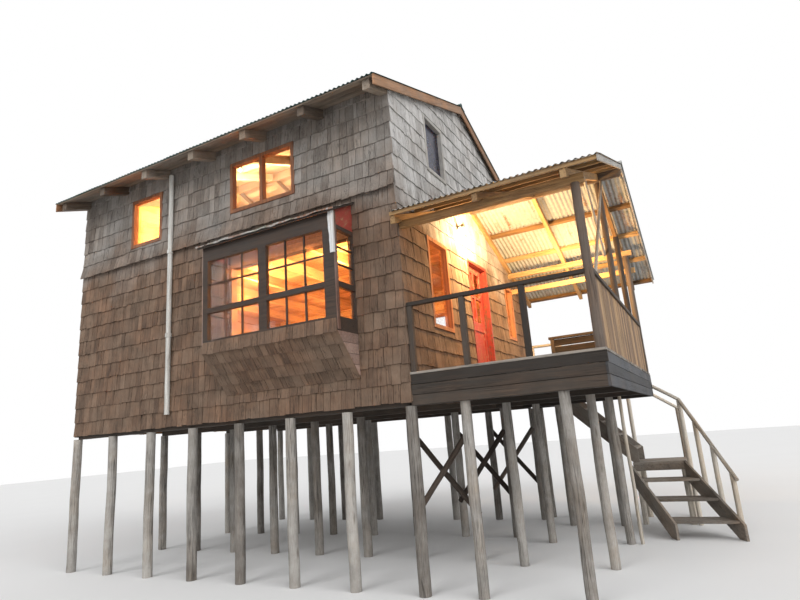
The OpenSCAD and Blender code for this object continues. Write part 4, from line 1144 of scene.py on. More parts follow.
DECK_BOARD = WoodFinish("deck_boards", (0.3, 0.2, 0.13), (0.1, 0.066, 0.045), (0.3, 0.285, 0.26),
                        0.6, 0.35, 0.6)
PALE_BOARD = WoodFinish("pale_boards", (0.42, 0.255, 0.115), (0.16, 0.082, 0.038),
                        (0.3, 0.235, 0.165), 0.3, 0.3, 0.5)
# Painted lamp light: the porch's beams, rafters and purlins are warmer and paler than the roof's
# timber, partly the wood's own tone and partly the porch lamp's glow.
LAMPLIT_PORCH_TIMBER = WoodFinish("porch_timber", (0.46, 0.28, 0.12), (0.19, 0.105, 0.045),
                          (0.3, 0.23, 0.15), 0.28, 0.3, 0.4)
ROOF_TIMBER = WoodFinish("roof_timber", (0.3, 0.2, 0.12), (0.09, 0.055, 0.034), (0.3, 0.27, 0.235),
                         0.5, 0.35, 0.5)
VERGE_TIMBER = WoodFinish("verge_timber", (0.42, 0.21, 0.1), (0.15, 0.065, 0.03), (0.3, 0.24, 0.19),
                          0.35, 0.3, 0.5)
END_BOARD = WoodFinish("bay_end_boards", (0.36, 0.215, 0.16), (0.14, 0.07, 0.05),
                       (0.34, 0.27, 0.235), 0.45, 0.3, 0.5)
BAY_TIMBER = WoodFinish("bay_timber", (0.06, 0.037, 0.025), (0.018, 0.013, 0.011),
                        (0.06, 0.056, 0.052), 0.3, 0.25, 0.5)
FRAME_TIMBER = WoodFinish("window_timber", (0.42, 0.17, 0.07), (0.15, 0.055, 0.027),
                          (0.32, 0.22, 0.16), 0.3, 0.2, 0.5, variety=0.4)
PALE_FRAME = WoodFinish("pale_frames", (0.46, 0.42, 0.37), (0.23, 0.2, 0.17), (0.45, 0.44, 0.42),
                        0.6, 0.2, 0.5)
INNER_BOARD = WoodFinish("inner_boards", (0.62, 0.34, 0.14), (0.33, 0.145, 0.05), (0.5, 0.33, 0.18),
                         0.2, 0.1, 0.25)
STAIR_TIMBER = WoodFinish("stair_planks", (0.3, 0.21, 0.14), (0.1, 0.068, 0.045),
                          (0.28, 0.265, 0.24), 0.55, 0.35, 0.6)
RED_PAINT = PaintFinish("red_paint", (0.29, 0.03, 0.022), VERGE_TIMBER, 0.27)
MAIN_IRON = IronFinish("painted_iron", (0.03, 0.105, 0.1), (0.17, 0.18, 0.17), 0.22, 0.35, 0.36)
PORCH_IRON = IronFinish("bare_iron", (0.27, 0.275, 0.255), (0.4, 0.405, 0.39), 0.36, 0.42, 0.34)
CAP_IRON = CapFinish("ridge_cap_iron", MAIN_IRON, PORCH_IRON, 6.8)
FLASHING = IronFinish("pale_flashing", (0.24, 0.225, 0.2), (0.42, 0.41, 0.39), 0.38, 0.55, 0.48,
                      (2.0, 9.0, 9.0), 0.0015)
CORNER_STRIP = PipeFinish("corner_strip", (0.68, 0.69, 0.7), (0.42, 0.38, 0.34), 0.6)
NAIL_IRON = IronFinish("nail_iron", (0.3, 0.3, 0.29), (0.35, 0.35, 0.34), 0.5, 0.7, 0.1)
PALE_PIPE = PipeFinish("pale_pipe", (0.6, 0.6, 0.57), (0.27, 0.25, 0.22))
WORN_BRASS = BrassFinish("worn_brass", (0.62, 0.44, 0.18), (0.2, 0.13, 0.06))
HOUSE_ROOM = ((-6.8, 0.035, 2.0), (-0.03, 5.565, 9.0))
BAY_ROOM = ((-3.04, -0.46, 3.25), (-0.8, 0.1, 5.1))
WALL_LINING = LiningFinish("wall_lining", INNER_BOARD, DARK_TIMBER, (HOUSE_ROOM, BAY_ROOM))
BAY_LINING = LiningFinish("bay_lining", INNER_BOARD, END_BOARD, (BAY_ROOM,))
BAY_CEILING = LiningFinish("bay_ceiling", INNER_BOARD, BAY_TIMBER, (BAY_ROOM,))
FLOOR_LINING = LiningFinish("floor_lining", INNER_BOARD, DECK_BOARD,
                            (((-7.0, -1.0, 2.6), (1.0, 7.0, 9.0)),), 0.15, True)


# Trees that grow what repeats

def log_tree() -> NodeTree:
    """Turns edges into round logs; the attribute girth is their radius.

    Returns:
        The tree.
    """
    t, i, end = new_group("round logs", "GeometryNodeTree",
                          {"Axes": "geometry", "Step": 0.14, "Bend": 0.008, "Lumps": 0.003,
                           "Sides": 14, "Seed": 1, "Finish": "material"}, {"Logs": "geometry"})
    lines = t.geo("MeshToCurve", {"Mesh": i.axes})
    lines = t.geo("ResampleCurve", {"Curve": lines, "Length": i.step}, mode="LENGTH")
    which = t.geo("CurveOfPoint")
    spline = t.node("GeometryNodeSplineParameter")
    lines = t.store(lines, "tone", t.chance(0.0, 1.0, which, i.seed))
    lines = t.store(lines, "way", spline.outputs["Length"])
    part = spline.outputs["Factor"]
    hold = t.mul(t.mul(part, t.sub(1.0, part)), 4.0)
    shift = t.scaled(t.vector(t.attribute("tone"), 0.3, 0.7), 40.0)
    wander = t.noise(t.vadd(t.position, shift), 0.9, 1.0, colour=True)
    wander = t.scaled(t.centred(wander), t.mul(i.bend, 4.0))
    lines = t.move(lines, t.scaled(wander, hold))
    ring = t.geo("CurvePrimitiveCircle", {"Resolution": i.sides, 4: 1.0})
    ring = t.store(ring, "ring", t.position, VECTOR)
    taper = t.sub(1.0, t.mul(part, 0.04))
    logs = t.geo("CurveToMesh", {"Curve": lines, "Profile Curve": ring, "Fill Caps": True,
                                 "Scale": t.mul(t.attribute("girth"), taper)})
    across = t.split(t.scaled(t.attribute("ring", VECTOR), t.attribute("girth")))
    grain = t.vector(t.add(t.attribute("way"), t.mul(t.attribute("tone"), 31.0)), across[0],
                     across[1])
    logs = t.store(logs, "grain", grain, VECTOR)
    lumps = t.sub(t.noise(t.vadd(t.position, shift), 5.0, 2.0), 0.5)
    out = t.geo("InputNormal")
    logs = t.move(logs, t.scaled(out, t.mul(lumps, t.mul(i.lumps, 2.0))))
    logs = t.real(logs)
    return t.finished(end, logs, i.finish)


def shingle_tree() -> NodeTree:
    """Hangs shingles on course lines; the attribute reach is their height.

    The lines run along X, the wall's face is at y 0 and looks to -Y.

    Returns:
        The tree.
    """
    t, i, end = new_group(
        "shingle courses", "GeometryNodeTree",
        {"Courses": "geometry", "Width": 0.12, "Spread": 0.035, "Gap": 0.006, "Butt": 0.02,
         "Lift": 0.003, "Ragged": 0.009, "Ridge Place": 0.0, "Ridge Height": 99.0, "Slope": 0.0,
         "Kick": 0.0, "Kick Height": SKIRT_TOP, "Kick Reach": 0.5, "Seed": 1, "Finish": "material"},
        {"Shingles": "geometry"})
    lines = t.geo("MeshToCurve", {"Mesh": i.courses})
    lines = t.geo("ResampleCurve", {"Curve": lines, "Length": i.width}, mode="LENGTH")
    ends = t.geo("CurveEndpointSelection", {0: 1, 1: 1})
    inner = t.sub(1.0, ends)
    jitter = t.chance(t.mul(i.spread, -1.0), i.spread, t.index, i.seed)
    lines = t.move(lines, t.vector(t.mul(jitter, inner), 0.0, 0.0))
    edges = t.geo("CurveToMesh", {"Curve": lines})
    ends_of = t.node("GeometryNodeInputMeshEdgeVertices")
    long = t.node("ShaderNodeVectorMath",
                  {0: ends_of.outputs["Position 1"], 1: ends_of.outputs["Position 2"]},
                  operation="DISTANCE").outputs["Value"]
    edges = t.store(edges, "span", long, "FLOAT", "EDGE")
    points = t.geo("MeshToPoints", {"Mesh": edges}, mode="EDGES")
    points = t.store(points, "tone", t.chance(0.0, 1.0, t.index, t.add(i.seed, 1.0)))
    points = t.store(points, "shift", t.chance3((30.0, 30.0, 30.0), t.index, t.add(i.seed, 2.0)),
                     VECTOR)
    drop = t.chance(t.mul(i.ragged, -1.0), i.ragged, t.index, t.add(i.seed, 3.0))
    points = t.store(points, "drop", drop)
    points = t.store(points, "foot", t.split(t.position)[2])
    unit = t.geo("MeshCube", {0: (1.0, 1.0, 1.0), 1: 4, 2: 2, 3: 3})
    x, y, z = t.split(t.position)
    up = t.add(z, 0.5)
    front = t.add(t.mul(t.sub(1.0, up), t.mul(i.butt, -1.0)), -0.0035)
    back = t.sub(t.mul(up, 0.004), i.lift)
    at_front = t.math("LESS_THAN", y, 0.0)
    unit = t.place(unit, t.vector(x, t.between(at_front, back, front), up))
    unit = t.store(unit, "own", t.position, VECTOR)
    size = t.vector(t.sub(t.attribute("span"), i.gap), 1.0, t.attribute("reach"))
    turn = t.chance3((0.022, 0.012, 0.0), t.index, t.add(i.seed, 4.0))
    placed = t.geo("InstanceOnPoints",
                   {"Points": points, "Instance": unit, "Scale": size,
                    "Rotation": t.first("FunctionNodeEulerToRotation", {0: turn})})
    mesh = t.real(placed)
    own = t.split(t.attribute("own", VECTOR))
    low = t.math("LESS_THAN", own[2], 0.3)
    chew = t.sub(t.noise(t.vadd(t.position, t.attribute("shift", VECTOR)), 24.0, 1.0), 0.5)
    fall = t.mul(low, t.add(t.attribute("drop"), t.mul(chew, 0.012)))
    warp = t.sub(t.noise(t.vadd(t.position, t.attribute("shift", VECTOR)), 7.0, 1.0), 0.5)
    mesh = t.move(mesh, t.vector(0.0, t.mul(warp, 0.006), fall))
    above = t.math("GREATER_THAN", t.attribute("foot"), t.sub(i.kick_height, 0.02))
    flare = t.ramp(t.split(t.position)[2], i.kick_height, t.add(i.kick_height, i.kick_reach), 1.0,
                   0.0)
    flare = t.mul(t.mul(flare, flare), t.mul(above, i.kick))
    mesh = t.move(mesh, t.vector(0.0, t.mul(flare, -1.0), 0.0))
    px, py, pz = t.split(t.position)
    away = t.math("ABSOLUTE", t.sub(px, i.ridge_place))
    roof = t.sub(i.ridge_height, t.mul(away, i.slope))
    mesh = t.place(mesh, t.vector(px, py, t.math("MINIMUM", pz, roof)))
    shifted = t.split(t.vadd(t.position, t.attribute("shift", VECTOR)))
    mesh = t.store(mesh, "grain", t.vector(shifted[2], shifted[0], shifted[1]), VECTOR)
    return t.finished(end, mesh, i.finish)


def board_tree() -> NodeTree:
    """Lays boards along X, side by side in Y, with their tops at z 0.

    Returns:
        The tree.
    """
    t, i, end = new_group("board run", "GeometryNodeTree",
                          {"Start": "geometry", "Count": 10, "Broad": 0.14, "Gap": 0.005,
                           "Thick": 0.028, "Long": 2.0, "Ragged": 0.006, "Uneven": 0.0015,
                           "Edge": 0.003, "Seed": 1, "Finish": "material"}, {"Boards": "geometry"})
    half = t.mul(i.broad, 0.5)
    rows = t.geo("MeshLine", {"Count": i.count, "Start Location": t.vector(0.0, half, 0.0),
                              "Offset": t.vector(0.0, i.broad, 0.0)}, mode="OFFSET")
    line = t.geo("CurvePrimitiveLine", {0: (0.0, 0.0, 0.0), 1: t.vector(i.long, 0.0, 0.0)},
                 mode="POINTS")
    lines = t.geo("InstanceOnPoints", {"Points": rows, "Instance": line})
    lines = t.real(lines)
    lines = t.geo("ResampleCurve", {"Curve": lines, "Length": 0.3}, mode="LENGTH")
    which = t.geo("CurveOfPoint")
    lines = t.store(lines, "tone", t.chance(0.0, 1.0, which, i.seed))
    lines = t.store(lines, "way", t.node("GeometryNodeSplineParameter").outputs["Length"])
    uneven = t.chance(t.mul(i.uneven, -2.0), 0.0, which, t.add(i.seed, 1.0))
    shove = t.chance(t.mul(i.ragged, -1.0), i.ragged, which, t.add(i.seed, 2.0))
    wave = t.noise(t.position, 1.3, 1.0, colour=True)
    wave = t.vmul(t.centred(wave), (0.0, 0.004, 0.005))
    lines = t.move(lines, t.vadd(t.vector(shove, 0.0, uneven), wave))
    lines = t.geo("SetCurveNormal", {"Curve": lines}, mode="Z_UP")
    section = t.geo("CurvePrimitiveQuadrilateral", {0: t.sub(i.broad, i.gap), 1: i.thick})
    section = t.geo("FilletCurve", {"Curve": section, "Count": 1, "Radius": i.edge}, mode="POLY")
    section = t.store(section, "ring", t.position, VECTOR)
    boards = t.geo("CurveToMesh", {"Curve": lines, "Profile Curve": section, "Fill Caps": True})
    across = t.split(t.attribute("ring", VECTOR))
    grain = t.vector(t.add(t.attribute("way"), t.mul(t.attribute("tone"), 31.0)),
                     t.add(across[0], t.mul(t.attribute("tone"), 9.0)), across[1])
    boards = t.store(boards, "grain", grain, VECTOR)
    boards = t.move(boards, t.vector(0.0, 0.0, t.mul(i.thick, -0.5)))
    boards = t.real(boards)
    return t.finished(end, boards, i.finish)


def iron_tree() -> NodeTree:
    """Lays corrugated sheets, which lap along X and run down along -Y.

    Returns:
        The tree.
    """
    t, i, end = new_group(
        "corrugated sheets", "GeometryNodeTree",
        {"Start": "geometry", "Sheets": 4, "Waves": 9, "Cover": 8, "Pitch": 0.076, "Height": 0.018,
         "Thick": 0.0016, "Long": 3.0, "Rows": 14, "Limit": 3.0, "Ragged": 0.012, "Dents": 0.006,
         "Lap": 0.0022, "Seed": 1, "Finish": "material"}, {"Roof": "geometry"})
    wide = t.mul(i.waves, i.pitch)
    columns = t.add(t.mul(i.waves, 8.0), 1.0)
    sheet = t.geo("MeshCube", {0: t.vector(wide, i.long, i.thick), 1: columns, 2: i.rows, 3: 2})
    sheet = t.move(sheet, t.vector(t.mul(wide, 0.5), t.mul(i.long, -0.5), 0.0))
    starts = t.geo("MeshLine",
                   {"Count": i.sheets, "Start Location": (0.0, 0.0, 0.0),
                    "Offset": t.vector(t.mul(i.cover, i.pitch), 0.0, 0.0)}, mode="OFFSET")
    odd = t.mul(t.math("MODULO", t.index, 2.0), i.lap)
    starts = t.move(starts, t.vector(0.0, 0.0, odd))
    starts = t.store(starts, "tone", t.chance(0.0, 1.0, t.index, i.seed))
    roof = t.geo("InstanceOnPoints", {"Points": starts, "Instance": sheet})
    roof = t.real(roof)
    x, y, z = t.split(t.position)
    roof = t.place(roof, t.vector(t.math("MINIMUM", x, i.limit), y, z))
    x, y, z = t.split(t.position)
    turn = t.mul(t.math("DIVIDE", x, i.pitch), math.tau)
    crest = t.mul(t.sub(1.0, t.math("COSINE", turn)), t.mul(i.height, 0.5))
    low_end = t.ramp(y, t.add(t.mul(i.long, -1.0), 0.25), t.mul(i.long, -1.0))
    slip = t.mul(t.mul(t.attribute("tone"), i.ragged), low_end)
    dent = t.sub(t.noise(t.vector(x, y, t.attribute("tone")), 3.2, 2.0), 0.5)
    dent = t.mul(dent, t.mul(i.dents, t.add(0.4, low_end)))
    roof = t.move(roof, t.vector(0.0, slip, t.add(crest, dent)))
    roof = t.geo("MergeByDistance", {"Geometry": roof, "Distance": 0.0002})
    return t.finished(end, roof, i.finish)


def nail_tree() -> NodeTree:
    """Sets a nail head on each point.

    Returns:
        The tree.
    """
    t, i, end = new_group("nail heads", "GeometryNodeTree",
                          {"Places": "geometry", "Radius": 0.008, "Flat": 0.5, "Seed": 1,
                           "Finish": "material"}, {"Nails": "geometry"})
    head = t.geo("MeshIcoSphere", {"Radius": i.radius, "Subdivisions": 1})
    head = t.place(head, t.vmul(t.position, t.vector(1.0, 1.0, i.flat)))
    size = t.chance(0.8, 1.15, t.index, i.seed)
    points = t.geo("MeshToPoints", {"Mesh": i.places}, mode="VERTICES")
    nails = t.geo("InstanceOnPoints",
                  {"Points": points, "Instance": head, "Scale": t.vector(size, size, size)})
    nails = t.real(nails)
    return t.finished(end, nails, i.finish)


LOGS = log_tree()
COURSES = shingle_tree()
BOARDS = board_tree()
SHEETS = iron_tree()
NAILS = nail_tree()


def axes_mesh(lines: list[tuple[Point, Point]], values: dict[str, list[float]]) -> Mesh:
    """Returns a mesh of loose edges, with a number for both ends of each edge.

    Args:
        lines: the two ends of each edge.
        values: for each attribute's name, one number for each edge.

    Returns:
        The mesh.
    """
    mesh = plain_mesh("axes", [p for line in lines for p in line], [],
                      [(2 * k, 2 * k + 1) for k in range(len(lines))])
    for name, numbers in values.items():
        add_attribute(mesh, name, np.repeat(np.array(numbers, np.float32), 2))
    return mesh


# Cladding

@dataclass(frozen=True)
class Opening:
    """A hole in a wall's shingles, along the wall and in height."""

    start: float
    end: float
    low: float
    high: float


@dataclass(frozen=True)
class Gable:
    """The line of the roof over a wall: its ridge, and its fall for each metre."""

    place: float = 0.0
    height: float = 99.0
    slope: float = 0.0

    def room(self, height: float) -> tuple[float, float]:
        """Tells how far a course reaches on both sides.

        Args:
            height: the course's height.

        Returns:
            Its lowest and highest place.
        """
        if self.slope == 0:
            return -99.0, 99.0
        half = (self.height - 0.03 - height) / self.slope
        return self.place - half, self.place + half


class Side(Enum):
    """A wall by the way it faces: the turn of its shingles about the upright."""

    NEAR = 0.0
    GABLE = math.pi / 2
    FAR = math.pi
    REAR = -math.pi / 2


@dataclass
class Cladding:
    """Shingles of one wall, hung in level courses round its openings.

    The wall is laid out along x from 0 and in height, then turned and moved to its place.
    """

    name: str
    side: Side
    place: Point
    long: float
    low: float
    high: float
    openings: list[Opening]
    gable: Gable = Gable()
    exposure: float = 0.245
    lap: float = 0.05
    seed: int = 1
    kick: float = 0.0
    corner: float = 0.016
    narrow: float = 0.012
    short: float = 0.02

    def segments(self) -> list[tuple[float, float, float, float, bool]]:
        """Cuts the courses at the openings.

        Returns:
            For each piece its start, end, butt, top, and whether it laps upwards.
        """
        found = []
        rows = math.ceil((self.high - self.low) / self.exposure)
        for row in range(rows):
            butt = self.low + row * self.exposure
            top = min(butt + self.exposure, self.high)
            left, right = self.gable.room(butt)
            over = self.corner if (row + (self.side in (Side.NEAR, Side.FAR))) % 2 else 0.001
            left, right = max(left, -over), min(right, self.long + over)
            if right - left < 0.05:
                continue
            near = [o for o in self.openings if o.low < top - 0.01 and o.high > butt + 0.01]
            sides = (c for o in near for c in (o.start, o.end) if left < c < right)
            cuts = sorted({left, right, *sides})
            for start, end in zip(cuts, cuts[1:]):
                if end - start < self.narrow:
                    continue
                bottom, head, lapped = butt, top, True
                for o in near:
                    if o.start < (start + end) / 2 < o.end:
                        if o.low <= bottom + self.short and o.high >= head - self.short:
                            bottom = head
                        elif o.low <= bottom + self.short:
                            bottom = o.high
                        else:
                            head, lapped = min(head, o.low), False
                if head - bottom > self.short:
                    found.append((start, end, bottom, head, lapped and top < self.high))
        return found

    def build(self) -> Mesh:
        """Grows the shingles.

        Returns:
            Their mesh in its place.
        """
        pieces = self.segments()
        lines = [((a, 0.0, z), (b, 0.0, z)) for a, b, z, _, _ in pieces]
        reach = [top - z + (self.lap if laps else 0.0) for _, _, z, top, laps in pieces]
        mesh = grow(COURSES, self.name, axes_mesh(lines, {"reach": reach}),
                    Ridge_Place=self.gable.place, Ridge_Height=self.gable.height,
                    Slope=self.gable.slope, Kick=self.kick, Seed=self.seed)
        mesh.transform(Matrix.Translation(self.place) @ Matrix.Rotation(self.side.value, 4, "Z"))
        return mesh


@dataclass
class Walls:
    """The house's walls: shingles outside on all four sides, lining inside."""

    base: float = 2.25
    long: float = 6.83
    wide: float = 5.6
    eave: float = 6.8
    ridge: float = 7.803
    peak: float = 7.8
    kick: float = 0.05

    def holes(self, side: Side) -> list[Opening]:
        """Returns the openings of one wall: its windows, and the bay or the door.

        Args:
            side: the wall.

        Returns:
            The openings, measured along the wall's own layout.
        """
        found = []
        for solid in solids_of("window_frames"):
            low, high = solid.low, solid.high
            on_x = high[0] > -0.1, low[0] < self.long * -1 + 0.1
            if side is Side.NEAR and low[1] < 0.1:
                found.append((low[0] + self.long, high[0] + self.long, low[2], high[2]))
            if side is Side.FAR and high[1] > self.wide - 0.1 and not any(on_x):
                found.append((-high[0], -low[0], low[2], high[2]))
            if side is Side.GABLE and on_x[0] and not (low[1] < 0 or high[1] > self.wide):
                found.append((low[1], high[1], low[2], high[2]))
            if side is Side.REAR and on_x[1]:
                found.append((self.wide - high[1], self.wide - low[1], low[2], high[2]))
        if side is Side.NEAR:
            low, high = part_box("bay_frame")
            foot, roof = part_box("bay_base")[0].z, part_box("bay_roof")
            found.append((low.x + self.long, high.x + self.long, foot, roof[1].z))
            found = [o for o in found
                     if not (o[0] > 3.5 and o[3] < 5.0 and o[2] > 3.0)] + [found[-1]]
        if side is Side.GABLE:
            low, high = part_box("door_frame")
            found.append((low.y, high.y, DECK_TOP, high.z))
        return [Opening(float(a), float(b), float(c), float(d)) for a, b, c, d in found]

    def build(self) -> None:
        """Hangs the shingles of the four walls and lines the inside."""
        roof = Gable(self.wide / 2, self.ridge, math.tan(ROOF_PITCH))
        walls = [Cladding("near_shingles", Side.NEAR, (-self.long, 0.0, 0.0), self.long, self.base,
                          self.eave, self.holes(Side.NEAR), seed=11, kick=self.kick),
                 Cladding("far_shingles", Side.FAR, (0.0, self.wide, 0.0), self.long, self.base,
                          self.eave, self.holes(Side.FAR), seed=23, kick=self.kick),
                 Cladding("gable_shingles", Side.GABLE, (0.0, 0.0, 0.0), self.wide, self.base,
                          self.peak, self.holes(Side.GABLE), roof, seed=37),
                 Cladding("rear_shingles", Side.REAR, (-self.long, self.wide, 0.0), self.wide,
                          self.base, self.peak, self.holes(Side.REAR), roof, seed=51)]
        # The gable wall takes the paler shingles, painted light; every wall turns to painted shade
        # below its height.
        grey, pale = SHADED_BELOW_SHINGLES.material(), LIT_GABLE_SHINGLES.material()
        for wall in walls:
            finish_piece(wall.build(), wall.name, pale if wall.side is Side.GABLE else grey,
                         "wall_shingle", smooth=20)
        lining = WALL_LINING.material()
        for node in ("near_wall", "far_wall", "rear_wall", "gable_wall_near", "gable_wall_far",
                     "gable_wall_upper", "gable_skirt"):
            dress_node(node, lining)
        boards = FLOOR_LINING.material()
        for node in ("ground_floor", "upper_floor"):
            dress_node(node, boards)


def dress_node(node: str, material: Material) -> None:
    """Gives a CAD node its material and leaves its mesh as it is.

    Args:
        node: the node.
        material: the material.
    """
    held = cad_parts[node]
    if held.material_slots:
        for slot in held.material_slots:
            slot.material = material
    else:
        held.data.materials.append(material)
    log.info("%s keeps its solids, dressed with %s", node, material.name)


@dataclass
class Timbers:
    """Sawn timber: every piece is copied from its node with worn edges and its own grain."""

    seed: int = 5
    beam: Wear = Wear(0.005, 0.002, 0.3)
    board: Wear = Wear(0.003, 0.002, 0.3)

    def copy(self, node: str, finish: WoodFinish | PaintFinish | LiningFinish, slot: str,
             wear: Wear, body: str = HOUSE, label: str = "worn",
             picked: Callable[[Solid], bool] = lambda solid: True) -> None:
        """Replaces a node with a worn copy of its pieces.

        Args:
            node: the node.
            finish: the finish of the copy.
            slot: its material slot.
            wear: how worn it is.
            body: the body that it rides on.
            label: the end of the copy's name.
            picked: tells the solids that the copy takes.
        """
        parts = MeshParts()
        rng = np.random.default_rng(self.seed + len(node) * 7 + ord(node[0]))
        for solid in filter(picked, solids_of(node)):
            worn(parts, solid, wear, rng)
        finish_piece(parts.mesh(), f"{node}_{label}", finish.material(), slot, (node,), body=body)

    def build(self) -> None:
        """Copies all the sawn timber of the house."""
        for node, finish, slot, wear in (
                ("bearers", DARK_TIMBER, "dark_timber", self.beam),
                ("floor_joists", DARK_TIMBER, "dark_timber", self.beam),
                ("upper_joists", INNER_BOARD, "inner_board", self.beam),
                ("roof_rafters", ROOF_TIMBER, "roof_timber", self.beam),
                ("ridge_boards", ROOF_TIMBER, "roof_timber", self.board),
                ("rail_posts", DARK_TIMBER, "dark_timber", self.beam),
                ("hand_rails", DARK_TIMBER, "dark_timber", self.board),
                # The porch timbers take the warm finish that paints the lamp's light.
                ("porch_beams", LAMPLIT_PORCH_TIMBER, "porch_timber", self.beam),
                ("porch_rafters", LAMPLIT_PORCH_TIMBER, "porch_timber", self.beam),
                ("porch_purlins", LAMPLIT_PORCH_TIMBER, "porch_timber", self.board),
                ("stair_stringers", STAIR_TIMBER, "stair_timber", self.board),
                ("stair_treads", STAIR_TIMBER, "stair_timber", self.board)):
            self.copy(node, finish, slot, wear)
        for finish, label, outer in ((VERGE_TIMBER, "main", False), (PALE_FRAME, "porch", True)):
            self.copy("verge_boards", finish, "verge_timber", self.board, label=label,
                      picked=lambda solid, outer=outer: (solid.low[0] > 1.0) == outer)


@dataclass
class Boards:
    """Runs of boards, laid by the board tree and turned into place."""

    roof_board: float = 0.15
    roof_rise: float = 0.0213

    def lay(self, name: str, corner: Point, along: Point, across: Point, **values: object) -> Mesh:
        """Lays one run of boards.

        Args:
            name: its name.
            corner: where its first board starts, on the face that shows.
            along: the direction of the boards.
            across: the direction from board to board.
            values: the tree's inputs.

        Returns:
            The mesh in its place.
        """
        mesh = grow(BOARDS, name, None, **values)
        x, y = Vector(along), Vector(across)
        turn = Matrix((x, y, x.cross(y))).transposed().to_4x4()
        mesh.transform(Matrix.Translation(corner) @ turn)
        return mesh

    def build(self) -> None:
        """Lays the deck, its rim, the rails' boards and the roof boards."""
        level, upright, x, y = DECK_TOP, (0, 0, 1), (1, 0, 0), (0, 1, 0)
        deck = [self.lay("deck", (0.0, -0.006, level), x, y, Count=34, Broad=0.1465, Long=2.405,
                         Thick=0.03, Seed=3),
                self.lay("platform", (0.0, 4.972, level), x, y, Count=7, Broad=0.1365, Long=0.6,
                         Thick=0.03, Seed=4)]
        finish_piece(joined(*deck), "deck_floor_boards", DECK_BOARD.material(), "deck_board",
                     ("deck_floor",))
        rim = {"Count": 3, "Broad": 0.13, "Thick": 0.025, "Ragged": 0.01, "Uneven": 0.003}
        sides = [self.lay("rim_near", (0.0, 0.0, 2.2), x, upright, Long=2.4, Seed=7, **rim),
                 self.lay("rim_far", (0.0, 4.945, 2.2), x, upright, Long=2.4, Seed=8, **rim)]
        finish_piece(joined(*sides), "rim_boards_sides", DARK_TIMBER.material(), "dark_timber",
                     ("deck_rim_boards",))
        finish_piece(self.lay("rim_boards_outer", (2.4, 0.0, 2.2), y, upright, Long=4.97, Seed=9,
                              **rim), "rim_boards_outer", BLUE_GREY_BOARDS.material(),
                     "dark_timber", ("deck_rim_boards",))
        outer = self.lay("outer_boards", (2.344, 0.108, level), upright, y, Count=33, Broad=0.144,
                         Long=0.86, Thick=0.022, Ragged=0.004, Gap=0.007, Seed=12)
        finish_piece(outer, "outer_rail_upright_boards", PALE_BOARD.material(), "pale_board",
                     ("outer_rail_boards",))
        far = self.lay("far_boards", (0.77, 4.899, level), x, upright, Count=6, Broad=0.143,
                       Long=1.515, Thick=0.022, Gap=0.012, Seed=13)
        finish_piece(far, "far_rail_level_boards", DARK_TIMBER.material(), "dark_timber",
                     ("far_rail_boards",))
        self.roof()

    def roof(self) -> None:
        """Lays the roof boards of both slopes, side by side from the eaves to the ridge."""
        up, level = math.sin(ROOF_PITCH), math.cos(ROOF_PITCH)
        slopes = []
        for k, solid in enumerate(solids_of("roof_boards")):
            low, high = solid.low, solid.high
            run = (high[1] - low[1]) / level
            count = round(run / self.roof_board)
            way, x, y = (1.0, low[0], low[1]) if k == 0 else (-1.0, high[0], high[1])
            start = (x, y, low[2] + self.roof_rise)
            slopes.append(self.lay(f"roof_{k}", start, (way, 0, 0), (0, way * level, up),
                                   Count=count, Broad=run / count, Long=high[0] - low[0],
                                   Thick=0.02, Gap=0.003, Uneven=0.0004, Seed=20 + k))
        finish_piece(joined(*slopes), "roof_lining_boards", ROOF_TIMBER.material(), "roof_timber",
                     ("roof_boards",))


